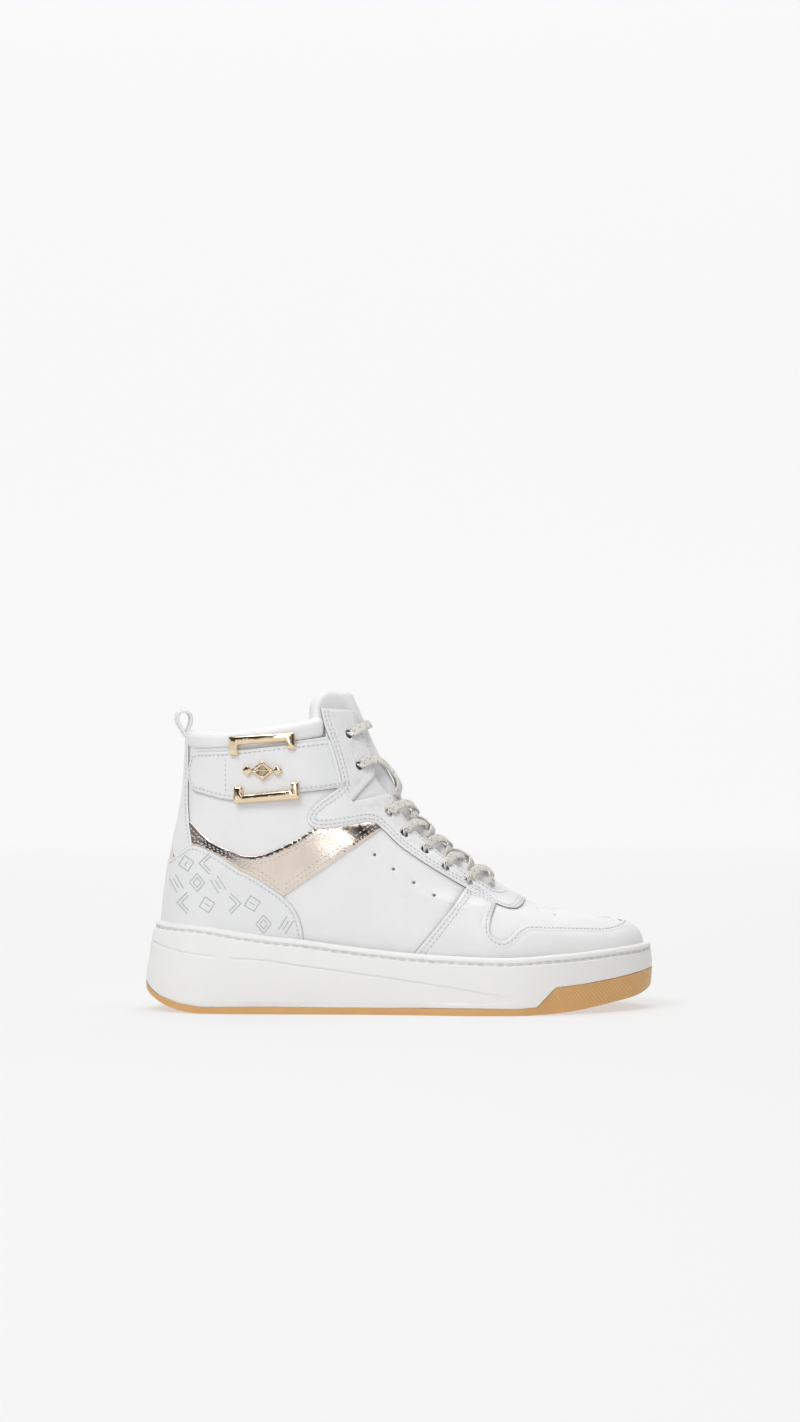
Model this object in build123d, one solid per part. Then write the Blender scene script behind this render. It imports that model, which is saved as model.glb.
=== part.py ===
from build123d import *
import os
from math import cos, pi, sin, sqrt

# A right-foot basketball high top with a cupsole, a mirror-gold ankle band and a decorative strap.
# Millimetres. X runs forward from the back of the heel, Y to the wearer's left, Z up from the
# ground. The wearer's outer (lateral) side faces -Y. Finished pieces are shifted so that the
# origin sits on the ground under mid-length.

LENGTH = 285.0
LATERAL = -1
MEDIAL = 1

# Thickness of each material, and how far each layer stands off the base leather surface.
GAP = 0.05
LEATHER = 1.4
OVERLAY = 1.3
STRAP = 1.85
METAL = 2.5
STIFFENER = 0.55
LINING = 1.15
ANKLE_PAD = 3.6
BOARD = 1.8
FOOTBED = 4.2
TONGUE_PAD = 6.5
TONGUE_BULGE = 3.7
THROAT_GAP = 1.6
FLAP_GAP = 3.3
GUM = 3.8

# Centre line up the back of the heel and along the front (toe, vamp, throat), row by row.
HEEL_X = [9.6, 9.2, 9.5, 10.2, 11.0, 12.3, 13.6, 15.8, 18.4, 20.6, 22.0, 22.8, 23.3, 23.8, 24.3]
HEEL_Z = [34, 42, 50, 58, 66, 75, 84, 94, 105, 117, 130, 143, 155, 166, 176]
FRONT_X = [276.5, 278.8, 278.6, 275.6, 268.5, 256, 236, 213.5, 190, 168, 149.5, 136.2, 127.2, 119, 112]
FRONT_Z = [20, 30, 37.5, 43.8, 48.2, 51.3, 54.3, 60.2, 74.8, 90.2, 108.7, 129.8, 148.6, 166.5, 183]
ROWS = len(HEEL_X)

# Half widths of every second row, at seven stations from the heel to the front.
LATERAL_HALF = [
    [58, 50, 35, 38, 52, 55.5, 55],
    [62, 54, 37.5, 39.4, 52.2, 54, 55],
    [60, 53, 37.2, 38.8, 45.3, 35.5, 34],
    [56, 51, 37.8, 37.2, 42.2, 28.5, 18],
    [50, 45.5, 38, 36, 39.5, 37.5, 34],
    [42, 39.5, 36.2, 36, 36.3, 33.5, 31],
    [39, 37.5, 36.4, 36, 35.3, 32.5, 31],
    [38, 37, 36, 36, 35, 32.5, 31],
]
MEDIAL_HALF = [
    [58, 50, 33.5, 28.5, 46, 56.5, 60],
    [62, 54, 36, 31, 46.2, 54.5, 58],
    [60, 53, 37.2, 32.8, 39.2, 33.5, 32],
    [56, 51, 38, 33.8, 35.5, 24, 15],
    [50, 45.5, 38.5, 35.5, 35, 32, 30],
    [42, 39.5, 36.5, 36, 34.5, 31, 29.5],
    [39, 37.5, 36.4, 36, 34.5, 31.5, 30],
    [38, 37, 36, 36, 34.5, 31.5, 30],
]
TOE_DRIFT = 6.0

# Side-view lines of the sole: the underside, the top of the gum rubber and the top of the rim.
UNDERSIDE = [(-8, 22), (-2, 15), (1.5, 10.5), (9.4, 5), (19.8, 1.4), (30, 0)]
TOE_SPRING = [(205, 0), (222, 0.6), (242.4, 2.6), (263, 6.2), (278, 9.6), (284, 13), (292, 21)]
GUM_HEEL = [(-8, 24), (-1, 17.5), (2.8, 12.6), (8.5, 9), (20.8, 5.8), (34, GUM)]
GUM_TOE = [(227, 15.4), (243, 16.6), (262, 19), (283, 22.8), (292, 24.8)]
RIM = [(-6, 51.5), (8, 50), (32, 48.4), (51, 45.3), (70, 42.8), (88, 41), (110, 38), (144, 34.3),
       (177, 32.4), (205, 31.9), (224, 33), (243, 34), (262, 35.5), (275, 36.4), (292, 38)]
SOLE_LEVELS = [(0, 0.8, 282.6, -1.6), (10, 0.4, 283.8, -0.3), (20, 0.2, 285, 0.5), (30, 1.9, 284.8, 0.3),
               (40, 3.2, 283.6, -0.6), (54, 7.0, 281.5, -2.2)]
SOLE_LATERAL = [60, 56, 42.7, 44.5, 60.5, 60.5, 62]
SOLE_MEDIAL = [60, 56, 42, 35, 55, 64.5, 66]
RIM_WALL = 6.0
STITCH_DROP = 3.7
HEEL_GROOVE = [(-6, 41.5), (2, 39), (12, 35.8), (24, 33.2), (39, 31.6)]
WEDGE_GROOVE = [(49, 30.4), (66, 29.6), (84, 27), (112, 23.4), (144, 19), (168, 15.4), (184, 12.8)]
FILLER_END = 255
SHANK_SIZE = (95, 13, 1.4)
SHANK_CENTRE = (112, -1, 24)
LASTING_SLOPE = 0.0525
LASTING_Z = 36.0

# Side-view lines of the upper's panels.
THROAT_TOP = [(117.7, 162.6), (122.6, 152.6), (126.9, 143.1), (128.3, 137.2), (128, 130.5)]
THROAT_LOWER = [(136.3, 121.5), (146.3, 105.6), (165.4, 87.2), (187.6, 71.8), (196, 67.2),
                (200, 67.4), (203.5, 71)]
NOTCH = (115.2, 117.3)
EYESTAY_REAR = [(98.1, 168.8), (100.5, 158.8), (102.9, 152.4), (106.9, 140.4), (108.9, 132.5),
                (110.1, 127.3)]
EYESTAY_HOOK = [(110.1, 127.3), (106.9, 124.2), (97.3, 117.3), (91.7, 111.8), (90.5, 106.9),
                (92.8, 103.7), (97.8, 102.6), (107.7, 103.4), (117.3, 104.9), (124, 105.9),
                (128.6, 105.2), (132.4, 102.1), (141.2, 93.6), (154.8, 84), (165.2, 77.5),
                (178.7, 69.7), (187.3, 65.4), (194.9, 61.2), (202.8, 58.7), (207.4, 58.6),
                (212, 61), (216, 67)]
COUNTER_TOP = [(4, 83.2), (13, 83.9), (19.2, 88.5), (27.9, 92.7), (33, 90.9), (43.5, 85.5),
               (52.2, 79.7), (62.4, 74.5), (69.6, 69.9), (76.2, 65.2), (82, 59.3), (85.6, 52.8),
               (87.4, 46.3), (88.8, 34)]
GOLD_TOP = [(4, 107), (16, 107), (23.5, 106.3), (29.5, 101.2), (36.3, 95.6), (46.4, 90.6),
            (53.7, 87.8), (60.3, 87.1), (66.7, 88.2), (76.2, 92.2), (87.1, 98), (92.2, 101.2),
            (97, 104.4)]
GOLD_CORNER = (76.9, 64.9)
GOLD_FRONT = (131.6, 102.7)
SHAFT_LINE = [(4, 96), (25, 97.5), (40, 88.5), (56, 80.5), (72, 80), (92, 89), (112, 98), (124, 103.4),
              (136, 110)]
QUARTER_SEAM_FOOT = 145.4
QUARTER_SEAM_TOP = (178.7, 69.7)
QUARTER_SEAM_END = (190.7, 84.4)
COLLAR_SEAM = [(4, 147), (24, 146.4), (46, 146.8), (66, 148.6), (86, 150.9), (101, 153)]
MUDGUARD_EDGE = [(194.9, 61.2), (192.3, 56.0), (190.8, 50.4), (190.9, 45.8), (193.6, 42.4),
                 (198, 40.9), (202, 42.9), (205.1, 46.4), (209.6, 49), (222.3, 49), (242.6, 47.8),
                 (257.9, 47.3), (266.5, 49.3), (274, 60)]
STRAP_TOP = [(24.9, 143.9), (46.4, 144.9), (66, 147), (85.6, 149.2), (104, 151.4)]
STRAP_FOOT = [(27.6, 122.4), (46.4, 118.2), (66, 120), (86.4, 122.4), (112, 125.4)]
STRAP_CORNER = 3.5

EYELETS = [(113.8, 154.4), (119.5, 136.8), (136, 110.6), (144.5, 99.4), (155.9, 90.1),
           (167.3, 80.6), (180.4, 72.5), (193, 66.4)]
EYELET_HOLE = 5.0
LACE_WIDTH = 4.6
LACE_THICKNESS = 2.2
QUARTER_VENTS = [(127.6, 88), (138, 80.1), (149.2, 72.6), (160.3, 65.7)]
VAMP_VENT_X = [219, 228]
VAMP_VENT_Y = [4.5, 13, 21]
VENT_HOLE = 1.7

# Backstay seen from behind: half width at each height, and the window that shows the gold.
BACKSTAY_SIDE = [(151.6, 5.5), (149, 9.2), (144, 10.2), (120, 13.6), (104, 19.2), (96, 22.4), (80, 26)]
WINDOW_APEX = 99.0
WINDOW_HALF = 21.5
WINDOW_FOOT = 78.0
LOOP_WIDTH = 11.0
LOOP_YAW = 4.0
LOOP_PINCH = (22.3, 151.6)
LOOP_OUTER = [(20, 155.2), (17.1, 159.8), (16.4, 163), (17.6, 166.3), (20.9, 167.4),
              (24.2, 166.3), (25.4, 162.8), (24.8, 158.6), (23.7, 155.2)]
LOOP_INNER = [(20.2, 157), (18.3, 160), (17.7, 162.7), (18.6, 165.1), (20.9, 166.1), (23.2, 165),
              (24.1, 162.6), (23.5, 159.4), (22.7, 156.6)]
LOOP_INNER_FOOT = (22.1, 153.6)

COLLAR_CREST = [(99, 163), (88, 160.6), (74, 158.4), (60, 156.6), (47, 155), (37, 154.6), (29, 155.1),
                (25, 155.8)]
COLLAR_HEEL_Z = 156

TONGUE_TOP_EDGE = [(86, 156), (91.6, 166), (93, 173), (97, 177.6), (103, 179.6), (110, 179.2),
                   (116, 177), (128, 171)]
TONGUE_SIDE = [(86, 156), (96, 138), (108, 118), (124, 99), (148, 80), (176, 64), (205, 54)]
TONGUE_HINGE = (126.2, 160.5)
TONGUE_HINGE_BACK = (80, 170.5)

BRACKET_BAR = 4.6
EMBLEM = (65.5, 134.4)
TREAD_DEPTH = 1.0
TREAD_GROOVE = 1.6
TREAD_PITCH = 8.0


def blend(values, position):
    """Smooth value at a fractional position in an evenly spaced list."""
    i = max(0, min(int(position), len(values) - 2))
    t = position - i
    a = values[max(i - 1, 0)]
    b = values[i]
    c = values[i + 1]
    d = values[min(i + 2, len(values) - 1)]
    return b + 0.5 * t * (c - a + t * (2 * a - 5 * b + 4 * c - d + t * (3 * (b - c) + d - a)))


def profile_point(xs, zs, row, offset):
    """Point of a centre line at a row, moved outward by the offset."""
    low = max(row - 0.5, 0)
    high = min(row + 0.5, ROWS - 1)
    dx = blend(xs, high) - blend(xs, low)
    dz = blend(zs, high) - blend(zs, low)
    size = sqrt(dx * dx + dz * dz)
    side = -1 if xs is HEEL_X else 1
    return blend(xs, row) + side * offset * dz / size, blend(zs, row) - side * offset * dx / size


def half_width(table, row, u):
    stations = [blend([line[k] for line in table], row / 2) for k in range(len(table[0]))]
    return blend(stations, u * (len(stations) - 1))


def upper_point(row, u, side, offset):
    """Point on the shoe surface: row from sole to collar, u from heel (0) to front (1)."""
    hx, hz = profile_point(HEEL_X, HEEL_Z, row, offset)
    fx, fz = profile_point(FRONT_X, FRONT_Z, row, offset)
    along = (1 - cos(pi * u)) / 2
    table = LATERAL_HALF if side == LATERAL else MEDIAL_HALF
    drift = TOE_DRIFT * along ** 4 * (1 - row / (ROWS - 1)) ** 2
    y = side * (half_width(table, row, u) + offset) * sin(pi * u) + drift
    return hx + (fx - hx) * along, y, hz + (fz - hz) * along


def on_upper(x, z, side, offset):
    """The surface point that side-view position (x, z) lands on."""
    low, high = 0.0, ROWS - 1.0
    for step in range(40):
        row = (low + high) / 2
        hx, hz = profile_point(HEEL_X, HEEL_Z, row, offset)
        fx, fz = profile_point(FRONT_X, FRONT_Z, row, offset)
        if (fx - hx) * (z - hz) - (fz - hz) * (x - hx) > 0:
            low = row
        else:
            high = row
    along = min(max((x - hx) / (fx - hx), 0), 1)
    low, high = 0.0, 1.0
    for step in range(40):
        u = (low + high) / 2
        if (1 - cos(pi * u)) / 2 < along:
            low = u
        else:
            high = u
    return upper_point(row, u, side, offset)


def half_section(points, start_half, end_half):
    """Half outline leaving and meeting the centre plane square, with evenly spaced stations."""
    stations = [k / (len(points) - 1) for k in range(len(points))]
    ends = [(0, pi * start_half, 0), (0, -pi * end_half, 0)]
    return Edge.make_spline(points, tangents=ends, parameters=stations, scale=False)


def throat_swell(u, bulge):
    rise = min(max((u - 0.87) / 0.07, 0), 1)
    return bulge * rise * rise * (3 - 2 * rise)


def upper_body(offset, bulge=0.0, steps=9):
    """Solid inside the shoe surface; a bulge swells the strip along the throat."""
    wires = []
    for row in range(ROWS):
        halves = []
        for side, table in ((LATERAL, LATERAL_HALF), (MEDIAL, MEDIAL_HALF)):
            points = []
            for k in range(steps):
                u = k / (steps - 1)
                points.append(upper_point(row, u, side, offset + throat_swell(u, bulge)))
            start = side * (half_width(table, row, 0) + offset)
            end = side * (half_width(table, row, 1) + offset + bulge)
            halves.append(half_section(points, start, end))
        wires.append(Wire(halves))
    return Solid.make_loft(wires)


def sole_body(inset):
    """Solid of the whole sole, from the ground to above the rim."""
    wires = []
    for z, heel, toe, spread in SOLE_LEVELS:
        halves = []
        for side, table in ((LATERAL, SOLE_LATERAL), (MEDIAL, SOLE_MEDIAL)):
            points = []
            for k in range(9):
                u = k / 8
                along = (1 - cos(pi * u)) / 2
                x = heel + inset + (toe - heel - 2 * inset) * along
                width = blend(table, u * 6) + spread - inset
                points.append((x, side * width * sin(pi * u) + TOE_DRIFT * along ** 4, z))
            reach = spread - inset
            halves.append(half_section(points, side * (table[0] + reach), side * (table[-1] + reach)))
        wires.append(Wire(halves))
    return Solid.make_loft(wires)


def run_edge(points):
    places = [Vector(x, 0, z) for x, z in points]
    if len(places) == 2:
        return Edge.make_line(*places)
    return Edge.make_spline(places)


def prism(*runs, side=None):
    """Side-view outline, one run of points per edge, carried across one side or both."""
    face = Face(Wire([run_edge(points) for points in runs]))
    reach = 90
    if side is None:
        return Solid.extrude(face.moved(Location((0, -reach, 0))), Vector(0, 2 * reach, 0))
    return Solid.extrude(face, Vector(0, side * reach, 0))


def raised(points, by):
    return [(x, z + by) for x, z in points]


def lasting(x):
    return LASTING_Z - LASTING_SLOPE * x


def quarter_seam():
    return [(QUARTER_SEAM_FOOT, lasting(QUARTER_SEAM_FOOT)), QUARTER_SEAM_TOP]


def ground_runs(x_from, x_to):
    """Edge along the lasting line, under which the upper stops."""
    return [(x_from, lasting(x_from)), (x_to, lasting(x_to))]


def joined(*runs):
    """Close a chain of runs by straight edges wherever two runs do not meet."""
    chain = []
    for k, points in enumerate(runs):
        chain.append(points)
        follow = runs[(k + 1) % len(runs)]
        if points[-1] != follow[0]:
            chain.append([points[-1], follow[0]])
    return chain


def biggest(shape):
    return max(shape.solids(), key=lambda s: s.volume)


def wrap(layer, region, *cuts):
    """Piece of a layer inside a region, with the cuts taken out; a layer is (outer, inner) bodies."""
    outer, inner = layer
    piece = outer & region
    for cut in cuts:
        piece = piece - cut
    return biggest(piece - inner)


def throat_opening():
    return prism(*joined(THROAT_TOP, [THROAT_TOP[-1], NOTCH], [NOTCH, THROAT_LOWER[0]], THROAT_LOWER,
                         [THROAT_LOWER[-1], (240, 120)], [(240, 120), (160, 215)],
                         [(160, 215), (108, 215)], [(108, 215), THROAT_TOP[0]]))


def below(line, floor=-20.0):
    return prism(*joined(line, [(line[-1][0], floor), (line[0][0], floor)]))


def sole_underside():
    return prism(*joined(UNDERSIDE, [UNDERSIDE[-1], TOE_SPRING[0]], TOE_SPRING,
                         [(292, 90), (-8, 90)]))


def gum_line(rise):
    heel = raised(GUM_HEEL, rise)
    toe = raised(GUM_TOE, rise)
    corner = (216.5, GUM + rise + 0.8)
    return [heel, [heel[-1], (206, GUM + rise)], [(206, GUM + rise), corner], [corner, toe[0]], toe]


def gum_region(rise=0.0):
    return prism(*joined(*gum_line(rise), [(292, -30), (-8, -30)]))


def tread_grooves():
    grooves = []
    for start, count, half in ((40, 7, 24), (158, 8, 30)):
        for k in range(count):
            bar = Box(TREAD_GROOVE, 2 * half, 2 * TREAD_DEPTH)
            grooves.append(bar.moved(Location((start + k * TREAD_PITCH, 0, 0), (0, 0, 12))))
    return grooves


def make_outsole(sole, seats):
    solid = (sole & sole_underside()) & gum_region()
    return biggest(solid.cut(*tread_grooves(), *seats))


def stitch_band(half_height):
    upper_line = raised(RIM, half_height - STITCH_DROP)
    lower_line = raised(RIM, -half_height - STITCH_DROP)
    return prism(*joined(upper_line, lower_line[::-1]))


def relief_band(points, half_height):
    return prism(*joined(raised(points, half_height), raised(points, -half_height)[::-1]))


def cup_region():
    return prism(*joined(*gum_line(GAP), RIM[::-1]))


def make_cupsole(sole, seats):
    """Sidewall and rim with the stitch groove and the two shallow side grooves."""
    core = sole_body(1.2)
    grooves = [(sole & stitch_band(1.0)) - core]
    for line in (HEEL_GROOVE, WEDGE_GROOVE):
        grooves.append((sole & relief_band(line, 0.5)) - core)
    solid = sole & cup_region()
    solid = solid - make_filler(sole_body(RIM_WALL))
    for cut in seats + grooves:
        solid = solid - cut
    return biggest(solid)


def make_filler(inner):
    floor = gum_line(0.4)[:-1] + [[(227, 15.8), (243, 17.0), (FILLER_END, 18.2)]]
    roof = [(FILLER_END, lasting(FILLER_END) - 0.2), (-8, lasting(-8) - 0.2)]
    return inner & prism(*joined(*floor, roof))


def make_sole_thread():
    return (sole_body(0.45) & stitch_band(0.5)) - sole_body(1.15)


def between(body, low, high):
    """Slice of a body between two lines parallel to the lasting line."""
    bottom = [(-20, lasting(-20) + low), (310, lasting(310) + low)]
    top = [(310, lasting(310) + high), (-20, lasting(-20) + high)]
    return body & prism(*joined(bottom, top))


def vent_pin(x, z, side):
    x0, y0, z0 = on_upper(x, z, side, 0)
    pin = Cylinder(VENT_HOLE / 2, 12)
    return pin.moved(Location((x0, y0, z0), (90, 0, 0)))


def quarter_region(side):
    return prism(*joined([(4, lasting(4)), (4, 96)], SHAFT_LINE, [SHAFT_LINE[-1], (150, 125)],
                         [(150, 125), QUARTER_SEAM_END], [QUARTER_SEAM_END, QUARTER_SEAM_TOP],
                         quarter_seam()[::-1], ground_runs(QUARTER_SEAM_FOOT, 4)), side=side)


def make_quarter(base, opening, side):
    solid = wrap(base, quarter_region(side), opening)
    return biggest(solid.cut(*[vent_pin(x, z, side) for x, z in QUARTER_VENTS]))


def make_ankle_panel(base, opening, side):
    shape = prism(*joined(SHAFT_LINE, [SHAFT_LINE[-1], (150, 125)], [(150, 125), (150, 167.6)],
                          [(150, 167.6), (99.5, 167.6)], [(99.5, 167.6), COLLAR_SEAM[-1]],
                          COLLAR_SEAM[::-1],
                          [(4, 147), (4, 96)]), side=side)
    return wrap(base, shape, opening)


def make_vamp(base, opening):
    shape = prism(*joined(quarter_seam(), [QUARTER_SEAM_TOP, QUARTER_SEAM_END],
                          [QUARTER_SEAM_END, (300, 84.4)], [(300, 84.4), (300, lasting(300))],
                          ground_runs(300, QUARTER_SEAM_FOOT)))
    solid = wrap(base, shape, opening)
    vents = []
    for x in VAMP_VENT_X:
        for y in VAMP_VENT_Y:
            for side in (LATERAL, MEDIAL):
                vents.append(Cylinder(VENT_HOLE / 2, 40).moved(Location((x, side * y, 60))))
    return biggest(solid.cut(*vents))


def eyelet_pins(radius, reach):
    pins = []
    for x, z in EYELETS:
        for side in (LATERAL, MEDIAL):
            inner = Vector(*on_upper(x, z, side, -2))
            outer = Vector(*on_upper(x, z, side, 2))
            plane = Plane(origin=outer, z_dir=(outer - inner).normalized())
            pins.append(plane.location * Cylinder(radius, reach))
    return pins


def eyestay_region():
    return prism(*joined(EYESTAY_REAR, EYESTAY_HOOK, [EYESTAY_HOOK[-1], (240, 120)],
                         [(240, 120), (160, 215)], [(160, 215), (117, 168.4)],
                         [(117, 168.4), EYESTAY_REAR[0]]))


def make_eyestay(overlay, opening, pins):
    return biggest(wrap(overlay, eyestay_region(), opening).cut(*pins))


def counter_region():
    return prism(*joined(COUNTER_TOP, [COUNTER_TOP[-1], (89.2, lasting(89.2))], ground_runs(89.2, 4),
                         [(4, lasting(4)), COUNTER_TOP[0]]))


def backstay_region(grow=0.0):
    """Rear-view outline of the backstay, carried forward through the heel."""
    right = [Vector(0, half + grow, z) for z, half in BACKSTAY_SIDE]
    left = [Vector(0, -half - grow, z) for z, half in BACKSTAY_SIDE]
    edges = [Edge.make_spline(right), Edge.make_line(right[-1], left[-1]),
             Edge.make_spline(left[::-1]), Edge.make_line(left[0], right[0])]
    return Solid.extrude(Face(Wire(edges)), Vector(44, 0, 0))


def window_region():
    corners = [(0, 0, WINDOW_APEX), (0, WINDOW_HALF, WINDOW_FOOT), (0, -WINDOW_HALF, WINDOW_FOOT)]
    face = Face(Wire.make_polygon([Vector(*c) for c in corners], close=True))
    return Solid.extrude(face, Vector(44, 0, 0))


def make_backstay(overlay):
    return wrap(overlay, backstay_region(), window_region(), counter_region())


def make_heel_insert(overlay):
    return wrap(overlay, window_region(), counter_region())


def gold_region(side):
    return prism(*joined(GOLD_TOP, [GOLD_TOP[-1], (112, 110)], [(112, 110), GOLD_FRONT],
                         [GOLD_FRONT, GOLD_CORNER], [GOLD_CORNER, (60, 50)], [(60, 50), (4, 50)],
                         [(4, 50), GOLD_TOP[0]]), side=side)


def make_gold(overlay, side):
    return wrap(overlay, gold_region(side), counter_region(), eyestay_region(), backstay_region())


def make_mudguard(overlay):
    shape = prism(*joined(quarter_seam(), [QUARTER_SEAM_TOP, (194.9, 61.2)], MUDGUARD_EDGE,
                          [MUDGUARD_EDGE[-1], (305, 60)], [(305, 60), (305, lasting(305))],
                          ground_runs(305, QUARTER_SEAM_FOOT)))
    return wrap(overlay, shape, eyestay_region())


def strap_region(side):
    top_left, foot_left = STRAP_TOP[0], STRAP_FOOT[0]
    r = STRAP_CORNER
    left_top = (top_left[0] + 0.1, top_left[1] - r)
    left_foot = (foot_left[0] - r + 0.7, foot_left[1] + r)
    round_top = [left_top, (top_left[0] + 1.1, top_left[1] - 0.6), (top_left[0] + r, top_left[1] + 0.2)]
    round_foot = [(foot_left[0] + r, foot_left[1] - 0.7), (foot_left[0] - 1.3, foot_left[1] + 0.9),
                  left_foot]
    top = [round_top[-1]] + STRAP_TOP[1:]
    foot = STRAP_FOOT[:0:-1] + [round_foot[0]]
    return prism(*joined(round_top, top, [top[-1], foot[0]], foot, round_foot, [left_foot, left_top]),
                 side=side)


def make_strap(layer):
    return wrap(layer, strap_region(LATERAL), eyestay_region())


def bar_frame(corners, legs):
    """Outline of a bar with a leg turned over each end; corners and legs run end to end."""
    (ax, az), (bx, bz) = corners
    (al, bl) = legs
    down = 1 if al > 0 else -1
    w = BRACKET_BAR
    return [(ax, az), (bx, bz), (bx + 0.3 * down, bz - bl), (bx + 0.3 * down - w, bz - bl),
            (bx - w, bz - w * down), (ax + w, az - w * down), (ax + w + 0.2, az - al), (ax + 0.2, az - al)]


def flat_region(points, side=LATERAL):
    runs = [[points[k], points[(k + 1) % len(points)]] for k in range(len(points))]
    return prism(*runs, side=side)


def make_brackets(metal):
    upper = bar_frame([(46.8, 153.1), (83.6, 155.4)], (10.2, 9.0))
    lower = bar_frame([(49.3, 116.3), (86.0, 119.1)], (-9.0, -9.0))
    return wrap(metal, flat_region(upper)), wrap(metal, flat_region(lower))


def lozenge(x, z, half_x, half_z):
    return [(x - half_x, z), (x, z + half_z), (x + half_x, z), (x, z - half_z)]


def make_ornament(metal):
    """Open lozenge with a small solid lozenge on each side, tied by a thin bar."""
    x, z = EMBLEM
    shape = flat_region(lozenge(x, z, 6.6, 5.3))
    for shift in (-8.2, 8.2):
        shape = shape + flat_region(lozenge(x + shift, z, 3.0, 3.0))
    bar = [(x - 7, z + 0.6), (x + 7, z + 0.6), (x + 7, z - 0.6), (x - 7, z - 0.6)]
    shape = shape + flat_region(bar)
    return wrap(metal, shape, flat_region(lozenge(x, z, 3.9, 3.1)))


def collar_places():
    """Places on the top line, from the lateral throat round the heel to the medial throat."""
    runs = []
    for side, crest in ((LATERAL, COLLAR_CREST), (MEDIAL, COLLAR_CREST[::-1])):
        feet = [(Vector(*on_upper(x, z - 3, side, 0)), z) for x, z in crest]
        runs.append([Vector(foot.X, foot.Y, z) for foot, z in feet])
    heel_x, _ = profile_point(HEEL_X, HEEL_Z, 12, 0)
    return runs[0] + [Vector(heel_x, 0, COLLAR_HEEL_Z)] + runs[1]


def collar_section(places, k):
    """Cross-section of the padded roll, upright and square to the top line."""
    base = places[k]
    run = places[min(k + 1, len(places) - 1)] - places[max(k - 1, 0)]
    out = Vector(-run.Y, run.X, 0).normalized()
    seam = blend([p[1] for p in COLLAR_SEAM], min((base.X - 4) / 19.5, 5))
    drop = base.Z - seam - 0.2
    shape = [(1.2, -drop), (1.7, -0.55 * drop), (0.4, -1.5), (-3.4, 0), (-7.2, -1.9), (-8.4, -0.6 * drop),
             (-7.6, -drop)]
    points = [base + out * n + Vector(0, 0, t) for n, t in shape]
    return Wire([Edge.make_spline(points), Edge.make_line(points[-1], points[0])])


def make_collar():
    """Padded roll, open at the throat, with a slot at the heel for the pull loop."""
    places = collar_places()
    roll = Solid.make_loft([collar_section(places, k) for k in range(len(places))])
    x, z = LOOP_PINCH
    return roll - Pos(x - 3.3, 0, z + 4.4) * Box(14, LOOP_WIDTH + 3, 10)


def tongue_shape():
    return prism(*joined(TONGUE_TOP_EDGE, [TONGUE_TOP_EDGE[-1], (150, 160)], [(150, 160), (225, 62)],
                         [(225, 62), (205, 54)], TONGUE_SIDE[::-1]))


def hinge_half(above):
    front = (TONGUE_HINGE[0] + 14, TONGUE_HINGE[1] - 3.5)
    back = TONGUE_HINGE_BACK
    height = 60 if above else -140
    return prism(*joined([back, TONGUE_HINGE], [TONGUE_HINGE, front],
                         [front, (front[0] + 60, front[1] + height)],
                         [(front[0] + 60, front[1] + height), (back[0], back[1] + height)]))


def tongue_piece(region, side_gap):
    """Full thickness in the throat opening, thinner by the gap where it lies under the lining."""
    outer = upper_body(-LEATHER - LINING - 6 * GAP, TONGUE_BULGE, 17)
    under = upper_body(-LEATHER - LINING - side_gap)
    inner = upper_body(-LEATHER - LINING - TONGUE_PAD)
    free = throat_opening().moved(Location((THROAT_GAP, 0, 0)))
    return biggest(wrap((outer, inner), region & free).fuse(wrap((under, inner), region - free)))


def make_tongue():
    """Padded tongue below the hinge line and its free top above it."""
    shape = tongue_shape()
    lower = tongue_piece(shape - hinge_half(True), 14 * GAP)
    return lower, tongue_piece(shape & hinge_half(True), FLAP_GAP)


def throat_rim(x, z, share):
    """Side-view point part of the way from an eyelet to the front line of the shoe."""
    row = front_row(x, z)
    fx, fz = profile_point(FRONT_X, FRONT_Z, row, 0)
    return x + (fx - x) * share, z + (fz - z) * share


def front_row(x, z):
    """Row whose front point is nearest to (x, z)."""
    return min((k / 20 for k in range(20 * (ROWS - 1) + 1)),
               key=lambda r: (blend(FRONT_X, r) - x) ** 2 + (blend(FRONT_Z, r) - z) ** 2)


def strand_path(near, far, side, lift):
    """Points up through the near eyelet, over the tongue and down beside the far throat edge."""
    nx, nz = near
    rn = front_row(*near)
    rf = front_row(*far)
    over = OVERLAY + 0.5 * LACE_THICKNESS + 0.35
    places = [Vector(*on_upper(nx, nz, side, -1.0)), Vector(*on_upper(nx, nz, side, 1.6))]
    ex, ez = throat_rim(nx, nz, 0.45)
    places.append(Vector(*on_upper(ex, ez, side, over)))
    for share, height in ((0.3, lift), (0.5, lift + 0.6), (0.7, lift)):
        row = rn + (rf - rn) * share
        cx, cz = profile_point(FRONT_X, FRONT_Z, row, height)
        places.append(Vector(cx, side * (0.5 - share) * 26, cz))
    bx, bz = profile_point(FRONT_X, FRONT_Z, rn + (rf - rn) * 0.86, -2.4)
    places.append(Vector(bx, -side * 9.6, bz))
    return places


def ribbon(places, normals):
    """Flat oval cord through the places, its flat side facing the normals."""
    path = Edge.make_spline(places)
    wires = []
    for k, normal in enumerate(normals):
        spot = path.param_at_point(places[k]) if 0 < k < len(places) - 1 else float(k > 0)
        tangent = path.tangent_at(spot)
        across = tangent.cross(normal).normalized()
        plane = Plane(origin=places[k], x_dir=across, z_dir=tangent)
        wires.append(Wire(Edge.make_ellipse(LACE_WIDTH / 2, LACE_THICKNESS / 2, plane)))
    return Solid.make_loft(wires)


def surface_normal(place):
    """Rough outward direction of the throat at a place: away from the foot's core line."""
    core = Vector(place.X - 26, 0, place.Z - 20)
    return (place - core).normalized()


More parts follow.
